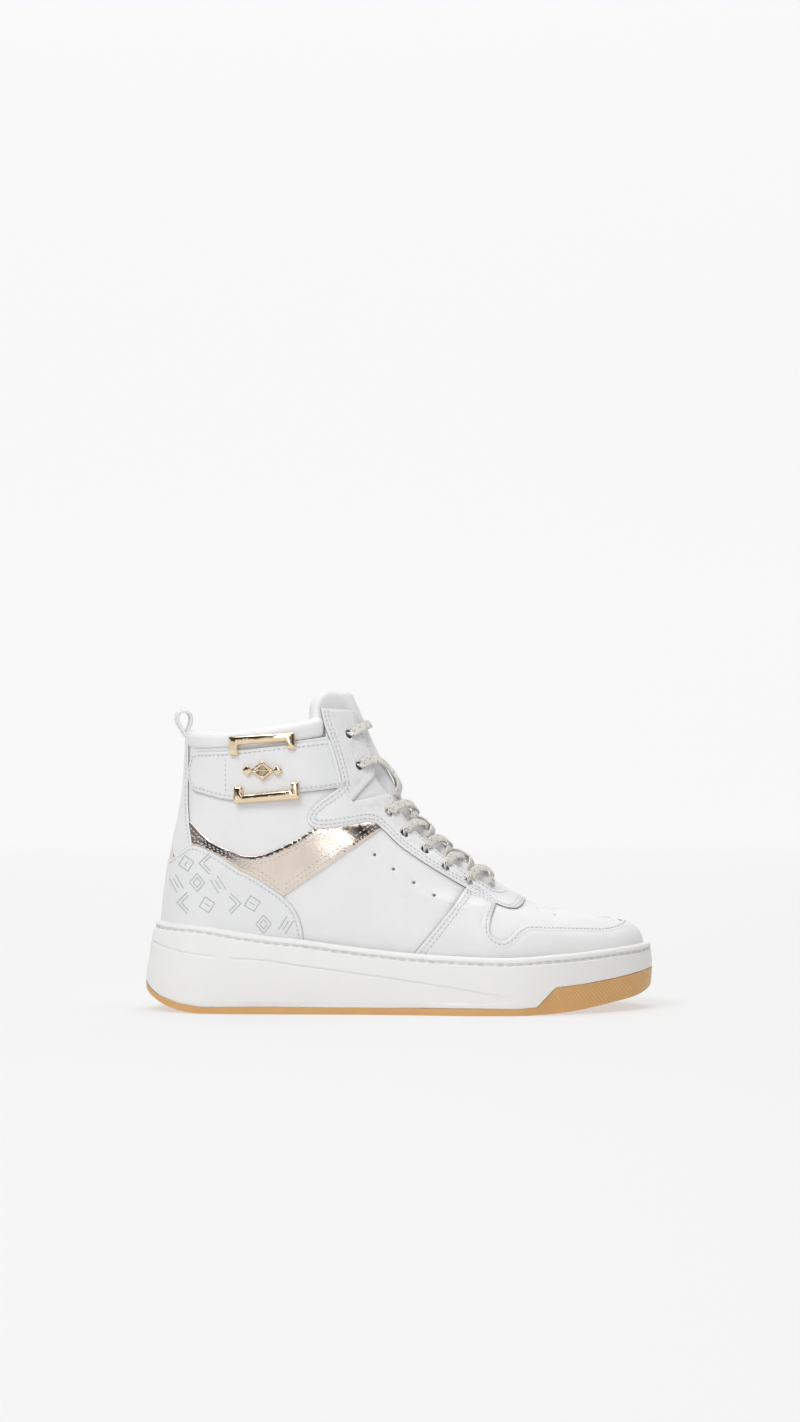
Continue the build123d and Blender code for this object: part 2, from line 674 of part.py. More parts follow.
def make_lace():
    strands = []
    lifts = {LATERAL: 2.6, MEDIAL: 5.0}
    for k in range(1, len(EYELETS) - 1):
        for side in (LATERAL, MEDIAL):
            lift = lifts[side if k % 2 else -side]
            places = strand_path(EYELETS[k], EYELETS[k + 1], side, lift)
            strands.append(ribbon(places, [surface_normal(p) for p in places]))
    strands.append(top_bar())
    return strands


def top_bar():
    """Straight strand across the tongue through the top pair of eyelets."""
    x, z = EYELETS[0]
    row = front_row(x, z)
    left = [Vector(*on_upper(x, z, LATERAL, h)) for h in (-1.0, 1.6)]
    ex, ez = throat_rim(x, z, 0.45)
    left.append(Vector(*on_upper(ex, ez, LATERAL, OVERLAY + 1.4)))
    cx, cz = profile_point(FRONT_X, FRONT_Z, row, 3.2)
    right = [Vector(p.X, -p.Y, p.Z) for p in left[::-1]]
    places = left + [Vector(cx, 0, cz)] + right
    return ribbon(places, [surface_normal(p) for p in places])


def make_lace_tips():
    """Sheathed lace ends lying inside the forefoot, beside the foot of the tongue."""
    tips = []
    for side in (LATERAL, MEDIAL):
        tip = Cylinder(1.3, 20)
        tips.append(tip.moved(Location((196, side * 17, 47), (0, 90, side * 8))))
    return tips


def make_loop():
    outer = [LOOP_PINCH] + LOOP_OUTER + [LOOP_PINCH]
    inner = [LOOP_INNER_FOOT] + LOOP_INNER + [LOOP_INNER_FOOT]
    face = Face(Wire([run_edge(outer)]))
    hole = Face(Wire([run_edge(inner)]))
    band = Solid.extrude(face, Vector(0, LOOP_WIDTH, 0)) - Solid.extrude(hole, Vector(0, LOOP_WIDTH, 0))
    band = band.moved(Location((0, -LOOP_WIDTH / 2, 0)))
    x, z = LOOP_PINCH
    return Pos(x, 0, z) * Rot(0, 0, LOOP_YAW) * Pos(-x, 0, -z) * band


def save(name, shape):
    moved = Pos(-LENGTH / 2, 0, 0) * shape
    solids = moved.solids()
    part = solids[0] if len(solids) == 1 else Compound(children=list(solids))
    part.label = name
    export_step(part, f"parts/{name}.step")
    print(name, len(solids), round(sum(s.volume for s in solids) / 1000, 2))


def build_sole(surfaces):
    """Sole pieces; the upper's bodies are cut from them above the lasting line."""
    plain, covered = surfaces
    foot = prism(*joined([(-20, lasting(-20)), (310, lasting(310))], [(310, 90), (-20, 90)]))
    front = prism(*joined(quarter_seam(), [QUARTER_SEAM_TOP, (310, 70)], [(310, 70), (310, lasting(310))]))
    seats = [plain & foot, covered & counter_region(), covered & front]
    sole = sole_body(0)
    save("outsole", make_outsole(sole, seats))
    save("cupsole", make_cupsole(sole, seats))
    save("sole_stitching", make_sole_thread())
    shank_place = Location(SHANK_CENTRE)
    save("shank", Box(*SHANK_SIZE).moved(shank_place))
    recess = Box(*[size + 2 * GAP for size in SHANK_SIZE]).moved(shank_place)
    save("midsole_filler", biggest(make_filler(sole_body(RIM_WALL + GAP)) - recess))


def build_upper():
    base = (upper_body(0), upper_body(-LEATHER))
    overlay = (upper_body(GAP + OVERLAY), upper_body(GAP))
    opening = throat_opening()
    pins = eyelet_pins(EYELET_HOLE / 2, 12)
    for side, name in ((LATERAL, "lateral"), (MEDIAL, "medial")):
        for label, piece in (("quarter", make_quarter(base, opening, side)),
                             ("ankle_panel", make_ankle_panel(base, opening, side))):
            save(f"{name}_{label}", biggest(piece.cut(*pins)))
        save(f"{name}_gold_panel", make_gold(overlay, side))
    save("vamp", biggest(make_vamp(base, opening).cut(*pins)))
    save("eyestay", make_eyestay(overlay, opening, pins))
    save("heel_counter", wrap(overlay, counter_region()))
    save("heel_insert", make_heel_insert(overlay))
    save("backstay", make_backstay(overlay))
    save("toe_overlay", make_mudguard(overlay))
    return (overlay[1], overlay[0]), opening, pins


def build_hardware():
    metal = (upper_body(2 * GAP + STRAP + METAL), upper_body(2 * GAP + STRAP))
    save("ankle_strap", make_strap((upper_body(GAP + STRAP), upper_body(GAP))))
    upper, lower = make_brackets(metal)
    save("upper_bracket", upper)
    save("lower_bracket", lower)
    save("ornament", make_ornament(metal))


def build_inside(opening, pins):
    outer = upper_body(-LEATHER - GAP)
    stiff = (outer, upper_body(-LEATHER - GAP - STIFFENER))
    lining_out = upper_body(-LEATHER - 2 * GAP - STIFFENER)
    lining_in = upper_body(-LEATHER - LINING)
    heel_zone = prism(*joined([(4, 78), (60, 70)], [(60, 70), (84, 34)], [(84, 34), (84, lasting(84))],
                              ground_runs(84, 4)))
    toe_zone = prism(*joined([(232, 70), (226, lasting(226))], ground_runs(226, 305),
                             [(305, 70), (232, 70)]))
    save("heel_stiffener", wrap(stiff, heel_zone))
    save("toe_puff", wrap(stiff, toe_zone))
    zone = prism(*joined([(0, lasting(0)), (0, 146.8)], [(0, 146.8), (4, 147)], COLLAR_SEAM,
                         [COLLAR_SEAM[-1], (99.5, 167.4)], [(99.5, 167.4), (150, 167.4)],
                         [(150, 167.4), (305, 90)], [(305, 90), (305, lasting(305))],
                         ground_runs(305, 0)))
    pockets = [(outer & heel_zone) - lining_out, (outer & toe_zone) - lining_out]
    save("lining", biggest(wrap((outer, lining_in), zone, opening, *pockets).cut(*pins)))
    cavity = upper_body(-LEATHER - LINING - GAP)
    save("insole_board", between(cavity, 0.1, BOARD))
    save("footbed", between(upper_body(-LEATHER - LINING - 4 * GAP), BOARD + 0.1, BOARD + FOOTBED))
    pad_zone = prism(*joined([(0, 124), (0, 146.2)], [(0, 146.2), (46, 146.2)], [(46, 146.2), (84, 148.6)],
                             [(84, 148.6), (84, 124)], [(84, 124), (0, 124)]))
    save("ankle_padding", wrap((cavity, upper_body(-LEATHER - LINING - ANKLE_PAD)), pad_zone))


def main():
    os.makedirs("parts", exist_ok=True)
    surfaces, opening, pins = build_upper()
    build_sole(surfaces)
    build_hardware()
    build_inside(opening, pins)
    save("collar", make_collar())
    tongue, tongue_top = make_tongue()
    save("tongue", tongue)
    save("tongue_top", tongue_top)
    save("pull_loop", make_loop())
    save("lace", Compound(children=make_lace()))
    save("lace_tips", Compound(children=make_lace_tips()))


main()
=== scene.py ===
import math
import random

import bpy
import numpy as np
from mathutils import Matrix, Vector
from mathutils.geometry import delaunay_2d_cdt


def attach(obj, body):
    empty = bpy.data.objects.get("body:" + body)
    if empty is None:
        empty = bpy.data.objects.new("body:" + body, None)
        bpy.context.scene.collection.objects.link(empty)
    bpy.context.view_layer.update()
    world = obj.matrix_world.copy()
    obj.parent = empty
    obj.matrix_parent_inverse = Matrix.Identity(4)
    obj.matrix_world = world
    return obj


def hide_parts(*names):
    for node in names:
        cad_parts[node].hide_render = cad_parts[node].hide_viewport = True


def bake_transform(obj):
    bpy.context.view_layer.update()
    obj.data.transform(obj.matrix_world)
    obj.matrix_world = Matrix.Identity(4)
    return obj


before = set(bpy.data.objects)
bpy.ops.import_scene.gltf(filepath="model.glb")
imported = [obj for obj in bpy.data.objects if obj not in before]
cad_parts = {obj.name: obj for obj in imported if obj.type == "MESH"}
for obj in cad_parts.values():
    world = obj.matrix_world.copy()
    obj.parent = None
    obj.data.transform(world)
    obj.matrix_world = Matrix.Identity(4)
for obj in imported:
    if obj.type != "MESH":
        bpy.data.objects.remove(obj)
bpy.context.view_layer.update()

# A right-foot basketball high top. Shapes are worked out in heel coordinates: millimetres,
# x forward from the back of the heel, y to the wearer's left, z up from the ground. to_world()
# turns them into the frame's metres. The outer (lateral) side faces -y.

HALF_LENGTH = 142.5
AROUND = 260.0
UPWARD = 10.0
LATERAL, MEDIAL = -1, 1
SIDES = ((LATERAL, "lateral"), (MEDIAL, "medial"))

HEEL_X = [9.6, 9.2, 9.5, 10.2, 11.0, 12.3, 13.6, 15.8, 18.4, 20.6, 22.0, 22.8, 23.3, 23.8, 24.3]
HEEL_Z = [34, 42, 50, 58, 66, 75, 84, 94, 105, 117, 130, 143, 155, 166, 176]
FRONT_X = [276.5, 278.8, 278.6, 275.6, 268.5, 256, 236, 213.5, 190, 168, 149.5, 136.2, 127.2, 119, 112]
FRONT_Z = [20, 30, 37.5, 43.8, 48.2, 51.3, 54.3, 60.2, 74.8, 90.2, 108.7, 129.8, 148.6, 166.5, 183]
ROWS = 15
HALVINGS = 30
LATERAL_HALF = [
    [58, 50, 35, 38, 52, 55.5, 55], [62, 54, 37.5, 39.4, 52.2, 54, 55],
    [60, 53, 37.2, 38.8, 45.3, 35.5, 34], [56, 51, 37.8, 37.2, 42.2, 28.5, 18],
    [50, 45.5, 38, 36, 39.5, 37.5, 34], [42, 39.5, 36.2, 36, 36.3, 33.5, 31],
    [39, 37.5, 36.4, 36, 35.3, 32.5, 31], [38, 37, 36, 36, 35, 32.5, 31]]
MEDIAL_HALF = [
    [58, 50, 33.5, 28.5, 46, 56.5, 60], [62, 54, 36, 31, 46.2, 54.5, 58],
    [60, 53, 37.2, 32.8, 39.2, 33.5, 32], [56, 51, 38, 33.8, 35.5, 24, 15],
    [50, 45.5, 38.5, 35.5, 35, 32, 30], [42, 39.5, 36.5, 36, 34.5, 31, 29.5],
    [39, 37.5, 36.4, 36, 34.5, 31.5, 30], [38, 37, 36, 36, 34.5, 31.5, 30]]
TOE_DRIFT = 6.0

RIM = [(-6, 51.5), (8, 50), (32, 48.4), (51, 45.3), (70, 42.8), (88, 41), (110, 38), (144, 34.3),
       (177, 32.4), (205, 31.9), (224, 33), (243, 34), (262, 35.5), (275, 36.4), (292, 38)]
GUM_TOP = [(-8, 24), (-1, 17.5), (2.8, 12.6), (8.5, 9), (20.8, 5.8), (34, 3.8), (206, 3.8),
           (216.5, 4.6), (227, 15.4), (243, 16.6), (262, 19), (283, 22.8), (292, 24.8)]
SOLE_LEVELS = [(0, 0.8, 282.6, -1.6), (10, 0.4, 283.8, -0.3), (20, 0.2, 285, 0.5), (30, 1.9, 284.8, 0.3),
               (40, 3.2, 283.6, -0.6), (54, 7.0, 281.5, -2.2)]
SOLE_LATERAL = [60, 56, 42.7, 44.5, 60.5, 60.5, 62]
SOLE_MEDIAL = [60, 56, 42, 35, 55, 64.5, 66]
STITCH_DROP = 3.7
HEEL_GROOVE = [(-6, 41.5), (2, 39), (12, 35.8), (24, 33.2), (39, 31.6)]
WEDGE_GROOVE = [(49, 30.4), (66, 29.6), (84, 27), (112, 23.4), (144, 19), (168, 15.4), (184, 12.8)]
LASTING_SLOPE = 0.0525
LASTING_Z = 36.0

THROAT_TOP = [(116.8, 167.6), (117.7, 162.6), (122.6, 152.6), (126.9, 143.1), (128.3, 137.2), (128, 130.5)]
THROAT_LOWER = [(136.3, 121.5), (146.3, 105.6), (165.4, 87.2), (187.6, 71.8), (196, 67.2),
                (200, 67.4), (203.5, 71)]
NOTCH = (115.2, 117.3)
EYESTAY_REAR = [(98.1, 168.8), (100.5, 158.8), (102.9, 152.4), (106.9, 140.4), (108.9, 132.5),
                (110.1, 127.3)]
EYESTAY_HOOK = [(110.1, 127.3), (106.9, 124.2), (97.3, 117.3), (91.7, 111.8), (90.5, 106.9),
                (92.8, 103.7), (97.8, 102.6), (107.7, 103.4), (117.3, 104.9), (124, 105.9),
                (128.6, 105.2), (132.4, 102.1), (141.2, 93.6), (154.8, 84), (165.2, 77.5),
                (178.7, 69.7), (187.3, 65.4), (194.9, 61.2), (202.8, 58.7), (207.4, 58.6),
                (212, 61), (216, 67)]
COUNTER_TOP = [(4, 83.2), (13, 83.9), (19.2, 88.5), (27.9, 92.7), (33, 90.9), (43.5, 85.5),
               (52.2, 79.7), (62.4, 74.5), (69.6, 69.9), (76.2, 65.2), (82, 59.3), (85.6, 52.8),
               (87.4, 46.3), (88.8, 34)]
GOLD_TOP = [(4, 107), (16, 107), (23.5, 106.3), (29.5, 101.2), (36.3, 95.6), (46.4, 90.6),
            (53.7, 87.8), (60.3, 87.1), (66.7, 88.2), (76.2, 92.2), (87.1, 98), (92.2, 101.2),
            (97, 104.4)]
GOLD_CORNER = (76.9, 64.9)
GOLD_FRONT = (138.8, 107.7)
SHAFT_LINE = [(4, 96), (25, 97.5), (40, 88.5), (56, 80.5), (72, 80), (92, 89), (112, 98), (124, 103.4),
              (136, 110)]
SEAM_FOOT, SEAM_TOP, SEAM_END = (145.4, 28.4), (178.7, 69.7), (190.7, 84.4)
COLLAR_SEAM = [(4, 147), (24, 146.4), (46, 146.8), (66, 148.6), (86, 150.9), (101, 153)]
MUDGUARD_EDGE = [(194.9, 61.2), (192.3, 56.0), (190.8, 50.4), (190.9, 45.8), (193.6, 42.4),
                 (198, 40.9), (202, 42.9), (205.1, 46.4), (209.6, 49), (222.3, 49), (242.6, 47.8),
                 (257.9, 47.3), (266.5, 49.3), (274, 60)]
STRAP_TOP = [(28.4, 144.1), (46.4, 144.9), (66, 147), (85.6, 149.2), (108, 151.8)]
STRAP_LEFT = [(28.4, 144.1), (26, 143.3), (25, 140.4), (24.8, 125.9), (26.3, 123.3), (31.1, 121.7)]
STRAP_FOOT = [(31.1, 121.7), (46.4, 118.2), (66, 120), (86.4, 122.4), (116, 125.9)]
EYELETS = [(113.8, 154.4), (119.5, 136.8), (136, 110.6), (144.5, 99.4), (155.9, 90.1),
           (167.3, 80.6), (180.4, 72.5), (193, 66.4)]
EYELET_RADIUS = 2.5
QUARTER_VENTS = [(127.6, 88), (138, 80.1), (149.2, 72.6), (160.3, 65.7)]
VENT_RADIUS = 0.85
BACKSTAY_SIDE = [(151.6, 5.5), (149, 9.2), (144, 10.2), (120, 13.6), (104, 19.2), (96, 22.4), (80, 26)]
COLLAR_CREST = [(99, 164.5), (88, 161.6), (74, 159), (60, 157), (47, 155.3), (37, 154.8), (29, 155.3),
                (25, 156)]
COLLAR_HEEL = (23.3, 156.2)
TONGUE_TOP_EDGE = [(90, 156), (95.6, 166), (97, 173), (100.5, 178.2), (105, 180.2), (111, 179.8),
                   (116, 177.6), (124, 172)]
TONGUE_SIDE = [(90, 156), (98, 138), (108, 118), (124, 99), (148, 80), (176, 64), (205, 54), (222, 54)]
LOOP_PINCH = (22.3, 151.6)
LOOP_LINE = [(22.2, 152.6), (20.4, 155.9), (17.9, 160), (17.1, 163), (18.2, 165.8), (20.9, 166.8),
             (23.7, 165.7), (24.8, 162.8), (24.2, 159), (22.9, 155.8), (22.4, 152.6)]
SHOE, FLAP, LOOP = "shoe", "tongue_flap", "loop"

rng = random.Random(7)


# ---------------------------------------------------------------- surface

def catmull(a, b, c, d, t):
    return b + 0.5 * t * (c - a + t * (2 * a - 5 * b + 4 * c - d + t * (3 * (b - c) + d - a)))


def blend(values, position):
    """Smooth values of an evenly spaced list or table at fractional positions."""
    values = np.asarray(values, float)
    last = len(values) - 1
    i = np.clip(position.astype(int), 0, last - 1)
    t = position - i
    if values.ndim > 1:
        t = t[:, None]
    return catmull(values[np.maximum(i - 1, 0)], values[i], values[i + 1], values[np.minimum(i + 2, last)], t)


def profile(xs, zs, row, offset):
    """Heel or front centre line at the rows, moved outward by the offset."""
    low, high = np.maximum(row - 0.5, 0), np.minimum(row + 0.5, ROWS - 1)
    dx = blend(xs, high) - blend(xs, low)
    dz = blend(zs, high) - blend(zs, low)
    size = np.hypot(dx, dz)
    side = -1 if xs is HEEL_X else 1
    return blend(xs, row) + side * offset * dz / size, blend(zs, row) - side * offset * dx / size


def half_width(table, row, u):
    lines = blend(table, row / 2)
    last = lines.shape[1] - 1
    position = u * last
    i = np.clip(position.astype(int), 0, last - 1)
    n = np.arange(len(u))
    columns = [np.maximum(i - 1, 0), i, i + 1, np.minimum(i + 2, last)]
    return catmull(*[lines[n, k] for k in columns], position - i)


def upper_points(row, u, side, offset):
    hx, hz = profile(HEEL_X, HEEL_Z, row, offset)
    fx, fz = profile(FRONT_X, FRONT_Z, row, offset)
    along = (1 - np.cos(np.pi * u)) / 2
    half = np.where(side < 0, half_width(LATERAL_HALF, row, u), half_width(MEDIAL_HALF, row, u))
    drift = TOE_DRIFT * along ** 4 * (1 - row / (ROWS - 1)) ** 2
    y = side * (half + offset) * np.sin(np.pi * u) + drift
    return np.stack([hx + (fx - hx) * along, y, hz + (fz - hz) * along], 1)


def search_rows(is_above, like):
    """Fractional rows by halving; is_above(row) tells where the wanted place is higher than the row."""
    low, high = np.zeros_like(like), np.full_like(like, ROWS - 1.0)
    for _ in range(HALVINGS):
        row = (low + high) / 2
        above = is_above(row)
        low, high = np.where(above, row, low), np.where(above, high, row)
    return row


def find_row(x, z, offset):
    """Row and share of the way to the front of side-view points."""
    def ends(row):
        return profile(HEEL_X, HEEL_Z, row, offset), profile(FRONT_X, FRONT_Z, row, offset)

    def is_above(row):
        (hx, hz), (fx, fz) = ends(row)
        return (fx - hx) * (z - hz) - (fz - hz) * (x - hx) > 0

    row = search_rows(is_above, x)
    (hx, _), (fx, _) = ends(row)
    return row, (x - hx) / (fx - hx)


def rows_at_height(u, z):
    """Rows whose surface is at the given heights, at given places round the shoe."""
    along = (1 - np.cos(np.pi * u)) / 2

    def is_above(row):
        hz = blend(HEEL_Z, row)
        return z > hz + (blend(FRONT_Z, row) - hz) * along

    return search_rows(is_above, z)


def heel_map(points, side, offset=0.0):
    """Side-view points as surface coordinates measured round from the heel."""
    points = np.asarray(points, float)
    row, along = find_row(points[:, 0], points[:, 1], offset)
    u = np.arccos(1 - 2 * np.clip(along, 0, 1)) / np.pi
    return np.stack([side * u * AROUND, row * UPWARD], 1)


def toe_map(points, side, offset=0.0):
    """Side-view points as surface coordinates measured round from the toe."""
    q = heel_map(points, side, offset)
    q[:, 0] = side * (AROUND - np.abs(q[:, 0]))
    return q


def rear_map(points, offset=0.0):
    """Rear-view points (y, z) near the heel as surface coordinates round from the heel."""
    points = np.asarray(points, float)
    y, z = points[:, 0], points[:, 1]
    side = np.where(y < 0, -1.0, 1.0)
    u = np.full_like(y, 0.05)
    for _ in range(25):
        row = rows_at_height(u, z)
        half = np.where(side < 0, half_width(LATERAL_HALF, row, u), half_width(MEDIAL_HALF, row, u)) + offset
        u = np.arcsin(np.clip(np.abs(y) / half, 0, 0.95)) / np.pi
    return np.stack([side * u * AROUND, row * UPWARD], 1)


def surface(kind, q, offset):
    """3-D points in heel coordinates of surface coordinates q at an offset."""
    side = np.where(q[:, 0] < 0, -1.0, 1.0)
    u = np.clip(np.abs(q[:, 0]) / AROUND, 0, 1)
    if kind == "toe":
        u = 1 - u
    return upper_points(np.clip(q[:, 1] / UPWARD, 0, ROWS - 1), u, side, offset)


def jacobian(kind, q, offset):
    """Surface directions of the two coordinates, and the outward normal."""
    step = 0.25
    da = (surface(kind, q + [step, 0], offset) - surface(kind, q - [step, 0], offset)) / (2 * step)
    db = (surface(kind, q + [0, step], offset) - surface(kind, q - [0, step], offset)) / (2 * step)
    normal = np.cross(da, db)
    normal /= np.linalg.norm(normal, axis=1)[:, None] + 1e-9
    out = surface(kind, q, offset + 1.0) - surface(kind, q, offset)
    flip = np.sign((normal * out).sum(1))
    return np.stack([da, db], 2), normal * np.where(flip == 0, 1, flip)[:, None]


def shifted(kind, q, direction, distance, offset):
    """Surface coordinates moved a 3-D distance along 3-D tangent directions."""
    jac, _ = jacobian(kind, q, offset)
    return q + np.einsum("nij,nj->ni", np.linalg.pinv(jac), direction) * np.reshape(distance, (-1, 1))


def tangents(points, closed):
    if closed:
        t = np.roll(points, -1, 0) - np.roll(points, 1, 0)
    else:
        t = np.gradient(points, axis=0)
    return t / (np.linalg.norm(t, axis=1)[:, None] + 1e-9)


def to_world(points):
    moved = np.array(points, float)
    moved[:, 0] -= HALF_LENGTH
    return moved * 0.001


# ---------------------------------------------------------------- curves in a plane

def smooth(points, pitch=1.2):
    """Dense smooth curve through points; two points give a straight run."""
    p = np.asarray(points, float)
    if len(p) == 2:
        steps = max(int(np.linalg.norm(p[1] - p[0]) / pitch), 1)
        return p[0] + (p[1] - p[0]) * np.linspace(0, 1, steps + 1)[:, None]
    chord = np.concatenate([[0], np.cumsum(np.linalg.norm(np.diff(p, axis=0), axis=1))])
    slope = np.empty_like(p)
    slope[1:-1] = 0
    for k in range(1, len(p) - 1):
        h0, h1 = chord[k] - chord[k - 1], chord[k + 1] - chord[k]
        slope[k] = ((p[k] - p[k - 1]) / h0 * h1 + (p[k + 1] - p[k]) / h1 * h0) / (h0 + h1)
    slope[0] = 1.5 * (p[1] - p[0]) / (chord[1] - chord[0]) - 0.5 * slope[1]
    slope[-1] = 1.5 * (p[-1] - p[-2]) / (chord[-1] - chord[-2]) - 0.5 * slope[-2]
    out = []
    for k in range(len(p) - 1):
        h = chord[k + 1] - chord[k]
        t = np.linspace(0, 1, max(int(h / pitch), 2) + 1)[:-1, None]
        out.append(p[k] * (1 + 2 * t) * (1 - t) ** 2 + slope[k] * h * t * (1 - t) ** 2
                   + p[k + 1] * t * t * (3 - 2 * t) + slope[k + 1] * h * t * t * (t - 1))
    return np.concatenate(out + [p[-1:]])


def chain(*runs):
    """Joined side-view path of smooth runs."""
    return np.concatenate([smooth(run) for run in runs])


def crossing(path, cutter):
    """Index along the path and the point where it first crosses the cutter, or None."""
    a, b = path[:-1], path[1:] - path[:-1]
    c, d = cutter[:-1], cutter[1:] - cutter[:-1]
    den = b[:, None, 0] * d[None, :, 1] - b[:, None, 1] * d[None, :, 0]
    den = np.where(np.abs(den) < 1e-12, 1e-12, den)
    gap = c[None] - a[:, None]
    t = (gap[..., 0] * d[None, :, 1] - gap[..., 1] * d[None, :, 0]) / den
    s = (gap[..., 0] * b[:, None, 1] - gap[..., 1] * b[:, None, 0]) / den
    hit = (t >= 0) & (t <= 1) & (s >= 0) & (s <= 1)
    rows = np.nonzero(hit.any(1))[0]
    if not len(rows):
        return None
    k = rows[0]
    share = t[k][hit[k]].min()
    return k, path[k] + (path[k + 1] - path[k]) * share


def until(path, cutter):
    found = crossing(path, cutter)
    return path if found is None else np.concatenate([path[:found[0] + 1], found[1][None]])


def after(path, cutter):
    found = crossing(path, cutter)
    return path if found is None else np.concatenate([found[1][None], path[found[0] + 1:]])


def inside(points, polygon):
    """Even-odd test of points against a closed polygon."""
    x, y = points[:, 0:1], points[:, 1:2]
    px, py = polygon[:, 0][None], polygon[:, 1][None]
    qx, qy = np.roll(px, -1, 1), np.roll(py, -1, 1)
    span = (py > y) != (qy > y)
    reach = (qx - px) * (y - py) / np.where(qy == py, 1e-12, qy - py) + px
    return (span & (x < reach)).sum(1) % 2 == 1


def resample(kind, loop, offset, pitch, closed=True):
    """Even 3-D spacing along a path on the surface."""
    if closed:
        loop = np.concatenate([loop, loop[:1]])
    p = surface(kind, loop, offset)
    s = np.concatenate([[0], np.cumsum(np.linalg.norm(np.diff(p, axis=0), axis=1))])
    keep = np.concatenate([[True], np.diff(s) > 1e-6])
    count = max(int(round(s[-1] / pitch)), 3)
    at = np.linspace(0, s[-1], count + 1)
    if closed:
        at = at[:-1]
    return np.stack([np.interp(at, s[keep], loop[keep, k]) for k in (0, 1)], 1)


def centre_clip(path):
    """Drops points that lie on the centre line."""
    return path[np.abs(path[:, 0]) > 0.05]


def both_sides(path):
    """Closed loop from a one-sided path that starts and ends on the centre line."""
    path = centre_clip(path)
    first, last = path[0].copy(), path[-1].copy()
    first[0] = last[0] = 0
    path = np.concatenate([first[None], path, last[None]])
    mirror = path[::-1] * [-1, 1]
    return np.concatenate([path, mirror[1:-1]])


def outward(path, kind, offset):
    """Tangent directions of an open or closed path and the directions square to it on the surface."""
    points = surface(kind, path, offset)
    along = tangents(points, False)
    _, normal = jacobian(kind, path, offset)
    return points, along, np.cross(normal, along), normal


def circle(kind, centre, radius, offset, count=18):
    """Round hole outline about a point of the surface."""
    q = np.repeat(np.reshape(centre, (1, 2)), count, 0)
    jac, normal = jacobian(kind, q[:1], offset)
    first = jac[0, :, 0] / np.linalg.norm(jac[0, :, 0])
    second = np.cross(normal[0], first)
    angle = np.linspace(0, 2 * np.pi, count, endpoint=False)[:, None]
    return shifted(kind, q, np.cos(angle) * first + np.sin(angle) * second, radius, offset)


# ---------------------------------------------------------------- mesh building

class Part:
    """Collects vertices, faces, material slots, sharp edges and UVs of one mesh."""

    def __init__(self):
        self.points, self.faces, self.slots, self.sharp, self.uvs = [], [], [], [], []
        self.count = 0

    def add(self, points, faces, slot=0, sharp=(), uv=None):
        start = self.count
        self.points.append(np.asarray(points, float))
        self.faces += [tuple(int(i) + start for i in face) for face in faces]
        self.slots += [slot] * len(faces) if isinstance(slot, int) else list(slot)
        self.sharp += [(int(a) + start, int(b) + start) for a, b in sharp]
        self.uvs.append(np.zeros((len(points), 2)) if uv is None else np.asarray(uv, float))
        self.count += len(points)

    def build(self, name, materials, nodes=(), body=SHOE):
        mesh = bpy.data.meshes.new(name)
        mesh.from_pydata(to_world(np.concatenate(self.points)).tolist(), [], self.faces)
        mesh.polygons.foreach_set("use_smooth", [True] * len(self.faces))
        for material in materials:
            mesh.materials.append(material)
        mesh.polygons.foreach_set("material_index", self.slots)
        if self.sharp:
            wanted = {(min(e), max(e)) for e in self.sharp}
            marks = [(min(e.vertices), max(e.vertices)) in wanted for e in mesh.edges]
            mesh.attributes.new("sharp_edge", "BOOLEAN", "EDGE").data.foreach_set("value", marks)
        uv = np.concatenate(self.uvs)
        if uv.any():
            corners = np.zeros(len(mesh.loops), int)
            mesh.loops.foreach_get("vertex_index", corners)
            mesh.uv_layers.new(name="along").data.foreach_set("uv", uv[corners].ravel())
        mesh.update()
        piece = bpy.data.objects.new(name, mesh)
        bpy.context.scene.collection.objects.link(piece)
        if nodes:
            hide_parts(*nodes)
        if body:
            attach(piece, body)
        return piece


def segment_distance(points, starts, ends):
    """Distance from each point to the nearest of many short segments."""
    best = np.empty(len(points))
    middles = (starts + ends) / 2
    size_m = (middles ** 2).sum(1)
    near_count = min(4, len(starts))
    for k in range(0, len(points), 4000):
        block = points[k:k + 4000]
        rough = size_m - 2 * block @ middles.T
        near = np.argpartition(rough, near_count - 1, axis=1)[:, :near_count]
        a, span = starts[near], (ends - starts)[near]
        gap = block[:, None] - a
        t = np.clip((gap * span).sum(2) / ((span * span).sum(2) + 1e-12), 0, 1)
        best[k:k + 4000] = np.linalg.norm(gap - span * t[..., None], axis=2).min(1)
    return best


def wrap_loop(loop):
    return np.roll(loop, -1, 0)


